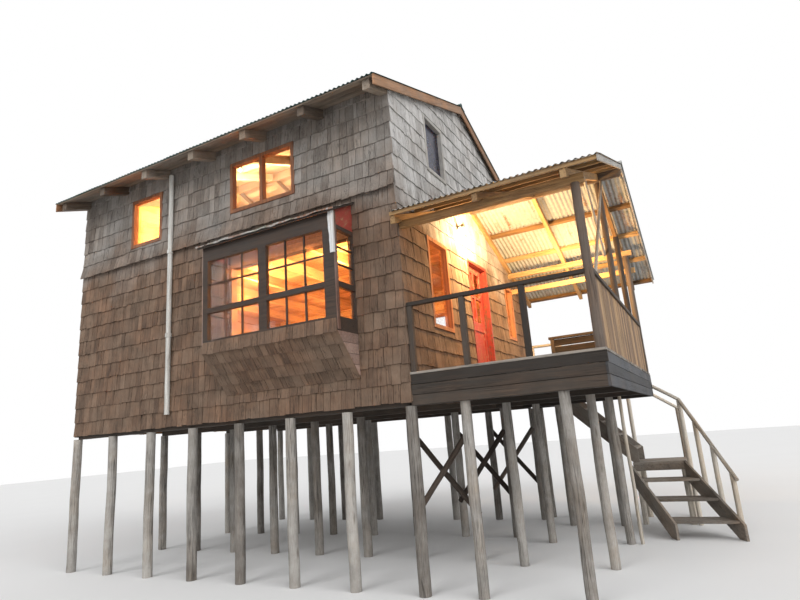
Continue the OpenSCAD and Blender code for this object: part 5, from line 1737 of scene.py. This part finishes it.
@dataclass
class Logs:
    """Round timber: stilts, braces, porch posts, and the stair's posts and rails."""

    rail_points: Route = ((2.372, 5.005, 2.4), (2.7925, 4.965, 2.11), (3.432, 3.71, 0.839))
    far_points: Route = ((0.0, 5.97, 3.53), (0.56, 5.97, 3.525), (2.77, 5.97, 1.93))
    slim: float = 0.03

    def axes(self, node: str) -> tuple[list[tuple[Point, Point]], list[float]]:
        """Measures the round solids of a node.

        Args:
            node: the node.

        Returns:
            The two ends of each axis, and each radius.
        """
        lines, girths = [], []
        for solid in solids_of(node):
            way = solid.axes()
            size = solid.high - solid.low
            if size[2] > 1.6 * max(size[0], size[1]) and max(size[0], size[1]) < 0.25:
                way = UPRIGHT
            reach = solid.points @ way.T
            middle = (reach.min(0) + reach.max(0)) / 2
            ends = []
            for value in (reach[:, 0].min(), reach[:, 0].max()):
                ends.append(tuple(np.array([value, middle[1], middle[2]]) @ way))
            lines.append((ends[0], ends[1]))
            spread = reach.max(0) - reach.min(0)
            girths.append(float(min(spread[1], spread[2])) / 2)
        return lines, girths

    def raise_logs(self, node: str, finish: WoodFinish, **values: object) -> None:
        """Replaces a node's round solids with grown logs, the slender ones as peeled poles.

        Args:
            node: the node.
            finish: the finish of the logs.
            values: the tree's inputs.
        """
        lines, girths = self.axes(node)
        for label, kind, slim in (("logs", finish, False), ("poles", RAIL_LOG, True)):
            kept = [k for k, girth in enumerate(girths) if (girth < self.slim) == slim]
            if kept:
                mesh = grow(LOGS, node, axes_mesh([lines[k] for k in kept],
                                                  {"girth": [girths[k] for k in kept]}), **values)
                finish_piece(mesh, f"{node}_{label}", kind.material(), "stilt_log", (node,), 50)

    def build(self) -> None:
        """Raises all the round timber."""
        for node, finish, seed, bend, lumps in (
                ("house_stilts", STILT_LOG, 3, 0.012, 0.005),
                ("deck_stilts", STILT_LOG, 5, 0.012, 0.005),
                ("stilt_braces", POST_LOG, 7, 0.008, 0.003),
                ("porch_posts", POST_LOG, 9, 0.006, 0.003),
                ("stair_posts", RAIL_LOG, 11, 0.006, 0.003)):
            self.raise_logs(node, finish, Seed=seed, Bend=bend, Lumps=lumps)
        lines = []
        for points in (self.rail_points, self.far_points):
            lines.extend(zip(points, points[1:]))
        mesh = grow(LOGS, "stair_rails", axes_mesh(lines, {"girth": [0.032] * len(lines)}), Seed=13,
                    Bend=0.006, Lumps=0.003)
        finish_piece(mesh, "stair_rail_poles", RAIL_LOG.material(), "rail_log", ("stair_rails",),
                     50)


@dataclass
class IronRoof:
    """Corrugated roof of two slopes, with its nails."""

    name: str
    ridge: tuple[float, float]
    start: float
    waves: int
    near: float
    far: float
    nodes: tuple[str, str]
    finish: IronFinish
    slot: str
    pitch: float = 0.076
    height: float = 0.018
    gap: float = 0.011
    nail_edge: float = 0.12
    nail_step: float = 0.75
    seed: int = 1

    def frame_of(self, slope: int) -> Matrix:
        """Places a slope's own layout in the house.

        Args:
            slope: 0 for the near slope, 1 for the far one.

        Returns:
            The matrix.
        """
        y, z = self.ridge
        side = 1 if slope == 0 else -1
        up = Vector((0, side * math.cos(ROOF_PITCH), math.sin(ROOF_PITCH)))
        x = Vector((side, 0, 0))
        turn = Matrix((x, up, x.cross(up))).transposed().to_4x4()
        at = self.start if slope == 0 else self.start + self.waves * self.pitch
        edge = (at, y - side * self.gap, z - self.gap * math.tan(ROOF_PITCH))
        return Matrix.Translation(edge) @ turn

    def build(self) -> None:
        """Lays the sheets and drives the nails."""
        material = self.finish.material()
        nails = []
        wide = self.waves * self.pitch
        for slope, eave in enumerate((self.near, self.far)):
            long = (abs(self.ridge[0] - eave) - self.gap) / math.cos(ROOF_PITCH)
            mesh = grow(SHEETS, f"{self.name}_{slope}", None, Sheets=math.ceil(self.waves / 8),
                        Pitch=self.pitch, Height=self.height, Long=long, Limit=wide,
                        Seed=self.seed + slope)
            mesh.transform(self.frame_of(slope))
            finish_piece(mesh, f"{self.name}_sheets_{('near', 'far')[slope]}", material, self.slot,
                         (self.nodes[slope],), 60)
            rows = max(3, round(long / self.nail_step))
            for row in range(rows + 1):
                at = -self.nail_edge - (long - 0.2) * row / rows
                for k in range(1, self.waves, 3):
                    nails.append(self.frame_of(slope)
                                 @ Vector(((k + 0.5) * self.pitch, at, self.height + 0.002)))
        places = plain_mesh("nail_places", [n[:] for n in nails], [])
        finish_piece(grow(NAILS, "nails", places, Radius=0.009, Seed=self.seed),
                     f"{self.name}_nails", NAIL_IRON.material(), self.slot, (), 60)


def outward(mesh: Mesh) -> Mesh:
    """Turns the faces of closed pieces outwards.

    Args:
        mesh: their mesh.

    Returns:
        The same mesh.
    """
    work = bmesh.new()
    work.from_mesh(mesh)
    bmesh.ops.recalc_face_normals(work, faces=work.faces[:])
    work.to_mesh(mesh)
    work.free()
    return mesh


def sheet_metal(name: str, rows: int, columns: int,
                point: Callable[[int, int, int], Point]) -> Mesh:
    """Makes a thin sheet of metal, closed round its rim.

    Args:
        name: the mesh's name.
        rows: its divisions one way.
        columns: its divisions the other way.
        point: gives the point at a side, a row and a column.

    Returns:
        The closed mesh.
    """
    wide = columns + 1
    sheet = wide * (rows + 1)
    points = [point(side, j, k) for side in (0, 1) for j in range(rows + 1) for k in range(wide)]
    faces = []
    for a in (j * wide + k for j in range(rows) for k in range(columns)):
        faces.append((a, a + 1, a + wide + 1, a + wide))
        faces.append((a + sheet, a + sheet + wide, a + sheet + wide + 1, a + sheet + 1))
    rim = list(range(wide)) + [j * wide + columns for j in range(1, rows + 1)]
    rim += [rows * wide + k for k in range(columns - 1, -1, -1)]
    rim += [j * wide for j in range(rows - 1, 0, -1)]
    faces.extend((b, a, a + sheet, b + sheet) for a, b in zip(rim, rim[1:] + rim[:1]))
    return outward(plain_mesh(name, points, faces))


@dataclass
class Roofs:
    """The main roof and the porch roof, with their ridge caps."""

    def build(self) -> None:
        """Builds both roofs and dresses their caps, whose solids stay."""
        IronRoof("main_roof", (2.8, 7.828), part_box("main_roof_near")[0].x, 93, -0.586, 6.186,
                 ("main_roof_near", "main_roof_far"), MAIN_IRON, "painted_iron", seed=3).build()
        IronRoof("porch_roof", (2.9, 5.8805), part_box("porch_roof_near")[0].x, 35, -0.256, 6.306,
                 ("porch_roof_near", "porch_roof_far"), PORCH_IRON, "bare_iron", seed=8).build()
        dress_node("ridge_caps", CAP_IRON.material())


@dataclass
class Bay:
    """The bay window: its frame, glazing bars, shingled base, sheet roof and end panels."""

    bar: float = 0.022
    bar_deep: float = 0.03
    board_foot: float = 3.23
    board_top: float = 4.86
    strip_foot: float = 4.26
    sill: float = 3.41
    panes_across: int = 3
    fold: float = 0.011
    knee: float = 3.22

    def bars(self, parts: MeshParts, start: Point, end: Point, columns: int, rows: int,
             rng: np.random.Generator) -> None:
        """Adds the glazing bars of one light.

        Args:
            parts: where the bars go.
            start: the light's lowest corner, at the glass.
            end: its highest corner, at the glass.
            columns: panes side by side.
            rows: panes above each other.
            rng: where its random numbers come from.
        """
        a, b = np.array(start), np.array(end)
        level = b - a
        level[2] = 0
        deep = np.cross(level / np.linalg.norm(level), (0, 0, 1))
        wear = Wear(0.002, 0.0004, 0.6)
        for k in range(1, columns):
            foot = a + level * k / columns
            bar = bar_solid(foot, foot + np.array([0, 0, b[2] - a[2]]), deep, self.bar_deep,
                            self.bar)
            worn(parts, bar, wear, rng)
        for k in range(1, rows):
            left = a + np.array([0, 0, (b[2] - a[2]) * k / rows])
            bar = bar_solid(left, left + level, deep, self.bar_deep, self.bar)
            worn(parts, bar, wear, rng)

    def build(self) -> None:
        """Builds the bay."""
        rng = np.random.default_rng(71)
        parts = MeshParts()
        for solid in solids_of("bay_frame"):
            worn(parts, solid, Wear(0.003, 0.0008, 0.6), rng, np.eye(3))
        for pane in solids_of("bay_glass"):
            low, high = tuple(pane.low), pane.high
            tall = high[2] - low[2] > 0.4
            if high[0] - low[0] > 0.5:
                self.bars(parts, low, (high[0], low[1], high[2]), self.panes_across,
                          2 if tall else 1, rng)
            else:
                self.bars(parts, low, (low[0], high[1], high[2]), 1, 3 if tall else 1, rng)
        finish_piece(parts.mesh(), "bay_frame_and_bars", BAY_TIMBER.material(), "bay_timber",
                     ("bay_frame",))
        self.skin()
        Timbers().copy("bay_end_panels", RED_PAINT, "red_paint", Wear(0.002, 0.001, 0.2))
        dress_node("bay_glass", GlassFinish().material())

    def skin(self) -> None:
        """Hangs the shingles of the bay's front and sloping base, and lays its sheet roof."""
        low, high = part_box("bay_base")
        front_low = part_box("bay_frame")[0].z - 0.02
        front = grow(COURSES, "bay_front",
                     axes_mesh([((0.0, 0.0, 0.0), (high.x - low.x, 0.0, 0.0))],
                               {"reach": [self.sill - front_low - 0.03]}), Seed=61)
        front.transform(Matrix.Translation((low.x, low.y, front_low)))
        slope = math.hypot(high.y - low.y, self.knee - low.z)
        count = math.ceil(slope / 0.2)
        feet = [k * slope / count - slope for k in range(count)]
        reach = [slope / count + (0.04 if k < count - 1 else 0.0) for k in range(count)]
        courses = axes_mesh([((0.0, 0.0, z), (high.x - low.x, 0.0, z)) for z in feet],
                            {"reach": reach})
        under = grow(COURSES, "bay_under", courses, Seed=67)
        lean = math.atan2(high.y - low.y, self.knee - low.z)
        under.transform(Matrix.Translation((low.x, low.y, self.knee))
                        @ Matrix.Rotation(lean, 4, "X"))
        # The bay's shingles lie below the skirt, so they take the darker lower finish, painted
        # shade.
        finish_piece(joined(front, under), "bay_shingles", SHADED_BELOW_SHINGLES.material(), "wall_shingle",
                     smooth=20)
        dress_node("bay_base", BAY_LINING.material())
        low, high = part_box("bay_frame")
        boards, rng = MeshParts(), np.random.default_rng(73)
        for x in (low.x - 0.012, high.x):
            worn(boards, box_solid((x, low.y + 0.001, self.board_foot),
                                   (x + 0.012, low.y + 0.065, self.board_top)),
                 Wear(0.002, 0.0008, 0.4), rng, UPRIGHT)
        finish_piece(boards.mesh(), "bay_corner_boards", END_BOARD.material(), "red_paint")
        Timbers().copy("bay_roof", BAY_CEILING, "roof_timber", Wear(0.003, 0.001, 0.3))
        finish_piece(self.flashing(), "bay_flashing", FLASHING.material(), "roof_timber", smooth=35)
        finish_piece(self.strip(), "bay_corner_strip", CORNER_STRIP.material(), "pale_pipe",
                     smooth=50)

    def flashing(self) -> Mesh:
        """Lays the crumpled sheet over the bay's roof and folds it down over the front edge.

        Returns:
            The closed mesh.
        """
        columns, rows = 90, 16
        low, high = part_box("bay_roof")
        angle = math.atan2(0.25, 0.5)

        def point(side: int, j: int, k: int) -> Point:
            """Finds a point of the sheet.

            Args:
                side: 0 for its top, 1 for its underside.
                j: its row.
                k: its column.

            Returns:
                The point.
            """
            x = low.x - 0.012 + (high.x - low.x + 0.024) * k / columns
            along = -0.01 + j / rows * 0.585
            y, z = -along * math.cos(angle), 5.131 - along * math.sin(angle)
            folded = j >= rows - 2
            if folded:
                y, z = -0.572, 4.868 - (j - rows + 2) * self.fold
            crumple = noise.noise(Vector((x * 6, j * 0.35, 1.5))) * 0.01
            crumple += noise.noise(Vector((x * 21, j * 0.9, 8.5))) * 0.006
            lift = 0.004 + crumple * (0.4 + 0.6 * j / rows) - 0.0012 * side
            if folded:
                return x, y - lift - 0.002, z + crumple
            return x, y - lift * 0.3 - 0.002, z + lift

        return sheet_metal("bay_flashing", rows, columns, point)

    def strip(self) -> Mesh:
        """Folds a pale strip of sheet down the front corner of the bay.

        Returns:
            The closed mesh.
        """
        top, foot, rows = self.board_top, self.strip_foot, 14
        low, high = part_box("bay_frame")

        def point(side: int, j: int, k: int) -> Point:
            """Finds a point of the strip.

            Args:
                side: 0 for its outer face, 1 for its inner one.
                j: its row.
                k: its column.

            Returns:
                The point.
            """
            off = 0.016 - 0.0015 * side
            z = top + (foot - top) * j / rows
            wide = 0.085 - 0.025 * j / rows + noise.noise(Vector((z * 9, 2.0, 5.0))) * 0.012
            x, y = (-wide * (1 - k / 4), 0.0) if k < 5 else (0.0, 0.016 * (k - 4))
            crumple = noise.noise(Vector((x * 30, z * 14, y * 30))) * 0.0025
            return (high.x + x + off + (crumple if k > 4 else 0.0),
                    low.y + y - off - (crumple if k < 4 else 0.0), z)

        return sheet_metal("bay_corner_strip", rows, 6, point)


@dataclass
class Windows:
    """The windows of the walls: worn frames, and sills and heads that throw the rain off."""

    def build(self) -> None:
        """Copies the frames, in two finishes, and dresses the panes."""
        rng = np.random.default_rng(83)
        brown, pale = MeshParts(), MeshParts()
        for solid in solids_of("window_frames"):
            on_gable = solid.high[0] > 0
            upper = solid.low[2] > 5.5
            worn(pale if on_gable and upper else brown, solid, Wear(0.0025, 0.0007, 0.6), rng,
                 UPRIGHT)
        for parts, name, finish in ((brown, "window_frames_brown", FRAME_TIMBER),
                                    (pale, "window_frame_pale", PALE_FRAME)):
            finish_piece(parts.mesh(), name, finish.material(), "frame_timber", ("window_frames",))
        dress_node("window_glass", GlassFinish().material())


@dataclass
class Door:
    """The red front door with its frame, glass and handle."""

    def build(self) -> None:
        """Copies the frame and the leaf with worn red paint, and dresses glass and handle."""
        timbers = Timbers()
        timbers.copy("door_frame", RED_PAINT, "red_paint", Wear(0.0015, 0.0004, 0.5))
        timbers.copy("door_leaf", RED_PAINT, "red_paint", Wear(0.0015, 0.0003, 0.5), DOOR)
        dress_node("door_glass", GlassFinish().material())
        dress_node("door_handle", WORN_BRASS.material())


@dataclass
class Pipe:
    """The pale pipe up the near wall, with the collars of its joints."""

    collars: tuple[float, ...] = (3.71, 5.16)
    centre: float = -0.06
    girth: float = 0.053
    tall: float = 0.06

    def build(self) -> None:
        """Dresses the pipe and adds its collars."""
        material = PALE_PIPE.material()
        dress_node("downpipe", material)
        low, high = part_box("downpipe")
        x, y = (low.x + high.x) / 2, self.centre
        lines = [((x, y, z), (x, y, z + self.tall)) for z in self.collars]
        mesh = grow(LOGS, "collars", axes_mesh(lines, {"girth": [self.girth] * len(lines)}),
                    Sides=32, Bend=0.0, Lumps=0.0003, Step=0.02)
        finish_piece(mesh, "pipe_collars", material, "pale_pipe", (), 50)


@dataclass
class Lamps:
    """The lamps that the photo shows lit: one on the porch wall, one in the upper room."""

    porch: Point = (0.12, 2.18, 5.15)
    room: Point = (-3.3, 0.5, 6.62)
    radius: float = 0.04

    def bulb(self, at: Point, name: str) -> Mesh:
        """Returns a glass bulb with its neck, turned about the upright."""
        profile = [(0.0, -1.0), (0.45, -0.9), (0.82, -0.58), (1.0, -0.1), (0.9, 0.38), (0.6, 0.78),
                   (0.36, 1.1), (0.3, 1.5), (0.0, 1.5)]
        return turned(name, [(r * self.radius, z * self.radius) for r, z in profile], at)

    def build(self) -> None:
        """Builds the two lamps: cap, bulb and bracket or cord grip."""
        glow = BulbFinish().material()
        brass = PipeFinish("lamp_caps", (0.12, 0.1, 0.08), (0.05, 0.04, 0.03), 0.45).material()
        for name, at in (("porch_lamp", self.porch), ("room_lamp", self.room)):
            finish_piece(self.bulb(at, name), name + "_bulb", glow, "window_glass", (), 60)
        x, y, z = self.porch
        cap = turned("porch_lamp_cap", [(0.0, 0.055), (0.03, 0.055), (0.034, 0.07), (0.03, 0.11),
                                        (0.0, 0.112)], (x, y, z))
        arm = grow(LOGS, "arm", axes_mesh([((0.0, y, z + 0.09), (x, y, z + 0.09))],
                                          {"girth": [0.012]}), Sides=16, Bend=0.0, Lumps=0.0)
        plate = turned("plate", [(0.0, 0.0), (0.045, 0.0), (0.045, 0.012), (0.03, 0.02),
                                 (0.0, 0.02)], (0, 0, 0))
        plate.transform(Matrix.Translation((0.015, y, z + 0.09))
                        @ Matrix.Rotation(math.pi / 2, 4, "Y"))
        finish_piece(joined(cap, arm, plate), "porch_lamp_holder", brass, "handle_brass", (), 60)
        x, y, z = self.room
        drop = grow(LOGS, "drop", axes_mesh([((x, y, z + 0.1), (x, y, 6.94))], {"girth": [0.006]}),
                    Sides=12, Bend=0.0, Lumps=0.0, Step=0.3)
        cap = turned("room_lamp_cap", [(0.0, 0.055), (0.03, 0.055), (0.034, 0.07), (0.028, 0.12),
                                       (0.0, 0.122)], (x, y, z))
        finish_piece(joined(cap, drop), "room_lamp_holder", brass, "handle_brass", (), 60)


def turned(name: str, profile: list[tuple[float, float]], at: Point) -> Mesh:
    """Turns a profile about the upright through a point.

    Args:
        name: the mesh's name.
        profile: radius and height of each point, from bottom to top, both ends at radius 0.
        at: where its zero is.

    Returns:
        The closed mesh.
    """
    sides = 24
    points = [(at[0], at[1], at[2] + profile[0][1])]
    for radius, height in profile[1:-1]:
        for k in range(sides):
            angle = math.tau * k / sides
            points.append((at[0] + radius * math.cos(angle), at[1] + radius * math.sin(angle),
                           at[2] + height))
    points.append((at[0], at[1], at[2] + profile[-1][1]))
    faces = []
    rings = len(profile) - 2
    for k in range(sides):
        nxt = (k + 1) % sides
        faces.append((0, 1 + nxt, 1 + k))
        for ring in range(rings - 1):
            a, b = 1 + ring * sides, 1 + (ring + 1) * sides
            faces.append((a + k, a + nxt, b + nxt, b + k))
        faces.append((1 + (rings - 1) * sides + k, 1 + (rings - 1) * sides + nxt, len(points) - 1))
    return outward(plain_mesh(name, points, faces))


@dataclass
class Studio:
    """Camera, floor, backdrop and lamps of the plain studio."""

    eye: Point = (3.29, -6.41, 1.85)
    right: Point = (0.8761181, 0.47645143, -0.07356025)
    up: Point = (0.17411134, -0.17042339, 0.96986654)
    ahead: Point = (-0.44955791, 0.86252531, 0.23226661)
    lens: float = 25.46
    reach: float = 60.0
    pale: float = 0.8
    warm: Colour = (1.0, 0.64, 0.3)
    lamps: tuple[tuple[str, Point, float], ...] = (
        ("ground_room_a", (-1.9, 1.4, 4.5), 290), ("ground_room_b", (-3.8, 1.5, 4.5), 330),
        ("ground_room_c", (-5.5, 2.2, 4.3), 300), ("bay_light", (-1.9, 0.1, 4.3), 45),
        ("upper_room_a", (-3.9, 1.8, 6.7), 760), ("upper_room_b", (-5.8, 1.9, 6.6), 560),
        ("porch_light", (0.55, 2.3, 4.85), 420), ("porch_far_light", (1.4, 4.2, 4.4), 210))

    def camera(self) -> None:
        """Sets the camera at the photo's place and angle."""
        data = bpy.data.cameras.new("view")
        data.lens, data.sensor_width, data.clip_end = self.lens, 36.0, 200.0
        made = linked("view", data)
        turn = Matrix((self.right, self.up, tuple(-v for v in self.ahead))).transposed()
        made.matrix_world = Matrix.Translation(self.eye) @ turn.to_4x4()
        bpy.context.scene.camera = made

    def lamp(self, name: str, at: Point, power: float, colour: Colour, radius: float) -> None:
        """Adds one warm lamp inside the house or on the porch.

        Args:
            name: its name.
            at: its place.
            power: its watts.
            colour: its colour.
            radius: its size.
        """
        data = bpy.data.lights.new(name, "POINT")
        data.energy, data.color, data.shadow_soft_size = power, colour, radius
        made = linked(name, data)
        made.location = at
        made.visible_camera = made.visible_glossy = made.visible_transmission = False

    def sun(self, name: str, turn: Point, power: float, spread: float) -> None:
        """Adds one soft distant light.

        Args:
            name: its name.
            turn: its turn in degrees.
            power: its strength.
            spread: its angle in degrees.
        """
        data = bpy.data.lights.new(name, "SUN")
        data.energy, data.angle = power, math.radians(spread)
        linked(name, data).rotation_euler = [math.radians(v) for v in turn]

    def build(self) -> None:
        """Builds the studio."""
        self.camera()
        corners = [(x * self.reach, y * self.reach, -0.002)
                   for x, y in ((-1, -1), (1, -1), (1, 1), (-1, 1))]
        floor = plain_mesh("floor", corners, [(0, 1, 2, 3)])
        made = linked("floor", floor)
        sheet = Sheet("pale_floor", 0.2)
        t = sheet.tree
        sheet.shade(Roughness=0.9,
                    Base_Color=t.blend(t.noise(sheet.place, 0.6, 2.0), rgba((self.pale,) * 3),
                                       rgba((self.pale * 0.97,) * 3)))
        floor.materials.append(sheet.material)
        world = bpy.data.worlds.new("studio")
        world.use_nodes = True
        bpy.context.scene.world = world
        world.node_tree.nodes.clear()
        t = Tree(world.node_tree)
        path = t.node("ShaderNodeLightPath")
        seen = t.math("MAXIMUM", path.outputs["Is Camera Ray"], path.outputs["Is Glossy Ray"])
        seen = t.math("MAXIMUM", seen, path.outputs["Is Transmission Ray"])
        back = t.node("ShaderNodeBackground", {0: (1, 1, 1, 1), 1: t.between(seen, 0.5, 1.0)})
        out = t.node("ShaderNodeOutputWorld")
        world.node_tree.links.new(back.outputs[0], out.inputs[0])
        self.sun("key", (52, 0, -12), 1.1, 35)
        self.sun("fill", (60, 0, 62), 1.9, 60)
        for name, at, power in self.lamps:
            self.lamp(name, at, power, self.warm, 0.12)
        bpy.context.scene.view_settings.view_transform = "Standard"


def main() -> None:
    """Builds the house piece by piece."""
    logging.basicConfig(level=logging.INFO, format="%(name)s: %(message)s")
    noise.seed_set(NOISE_SEED)
    for part in (Walls(), Timbers(), Boards(), Logs(), Roofs(), Bay(), Windows(), Door(), Pipe(),
                 Lamps(), Studio()):
        log.info("building %s", type(part).__name__)
        part.build()


if __name__ == "__main__":
    main()
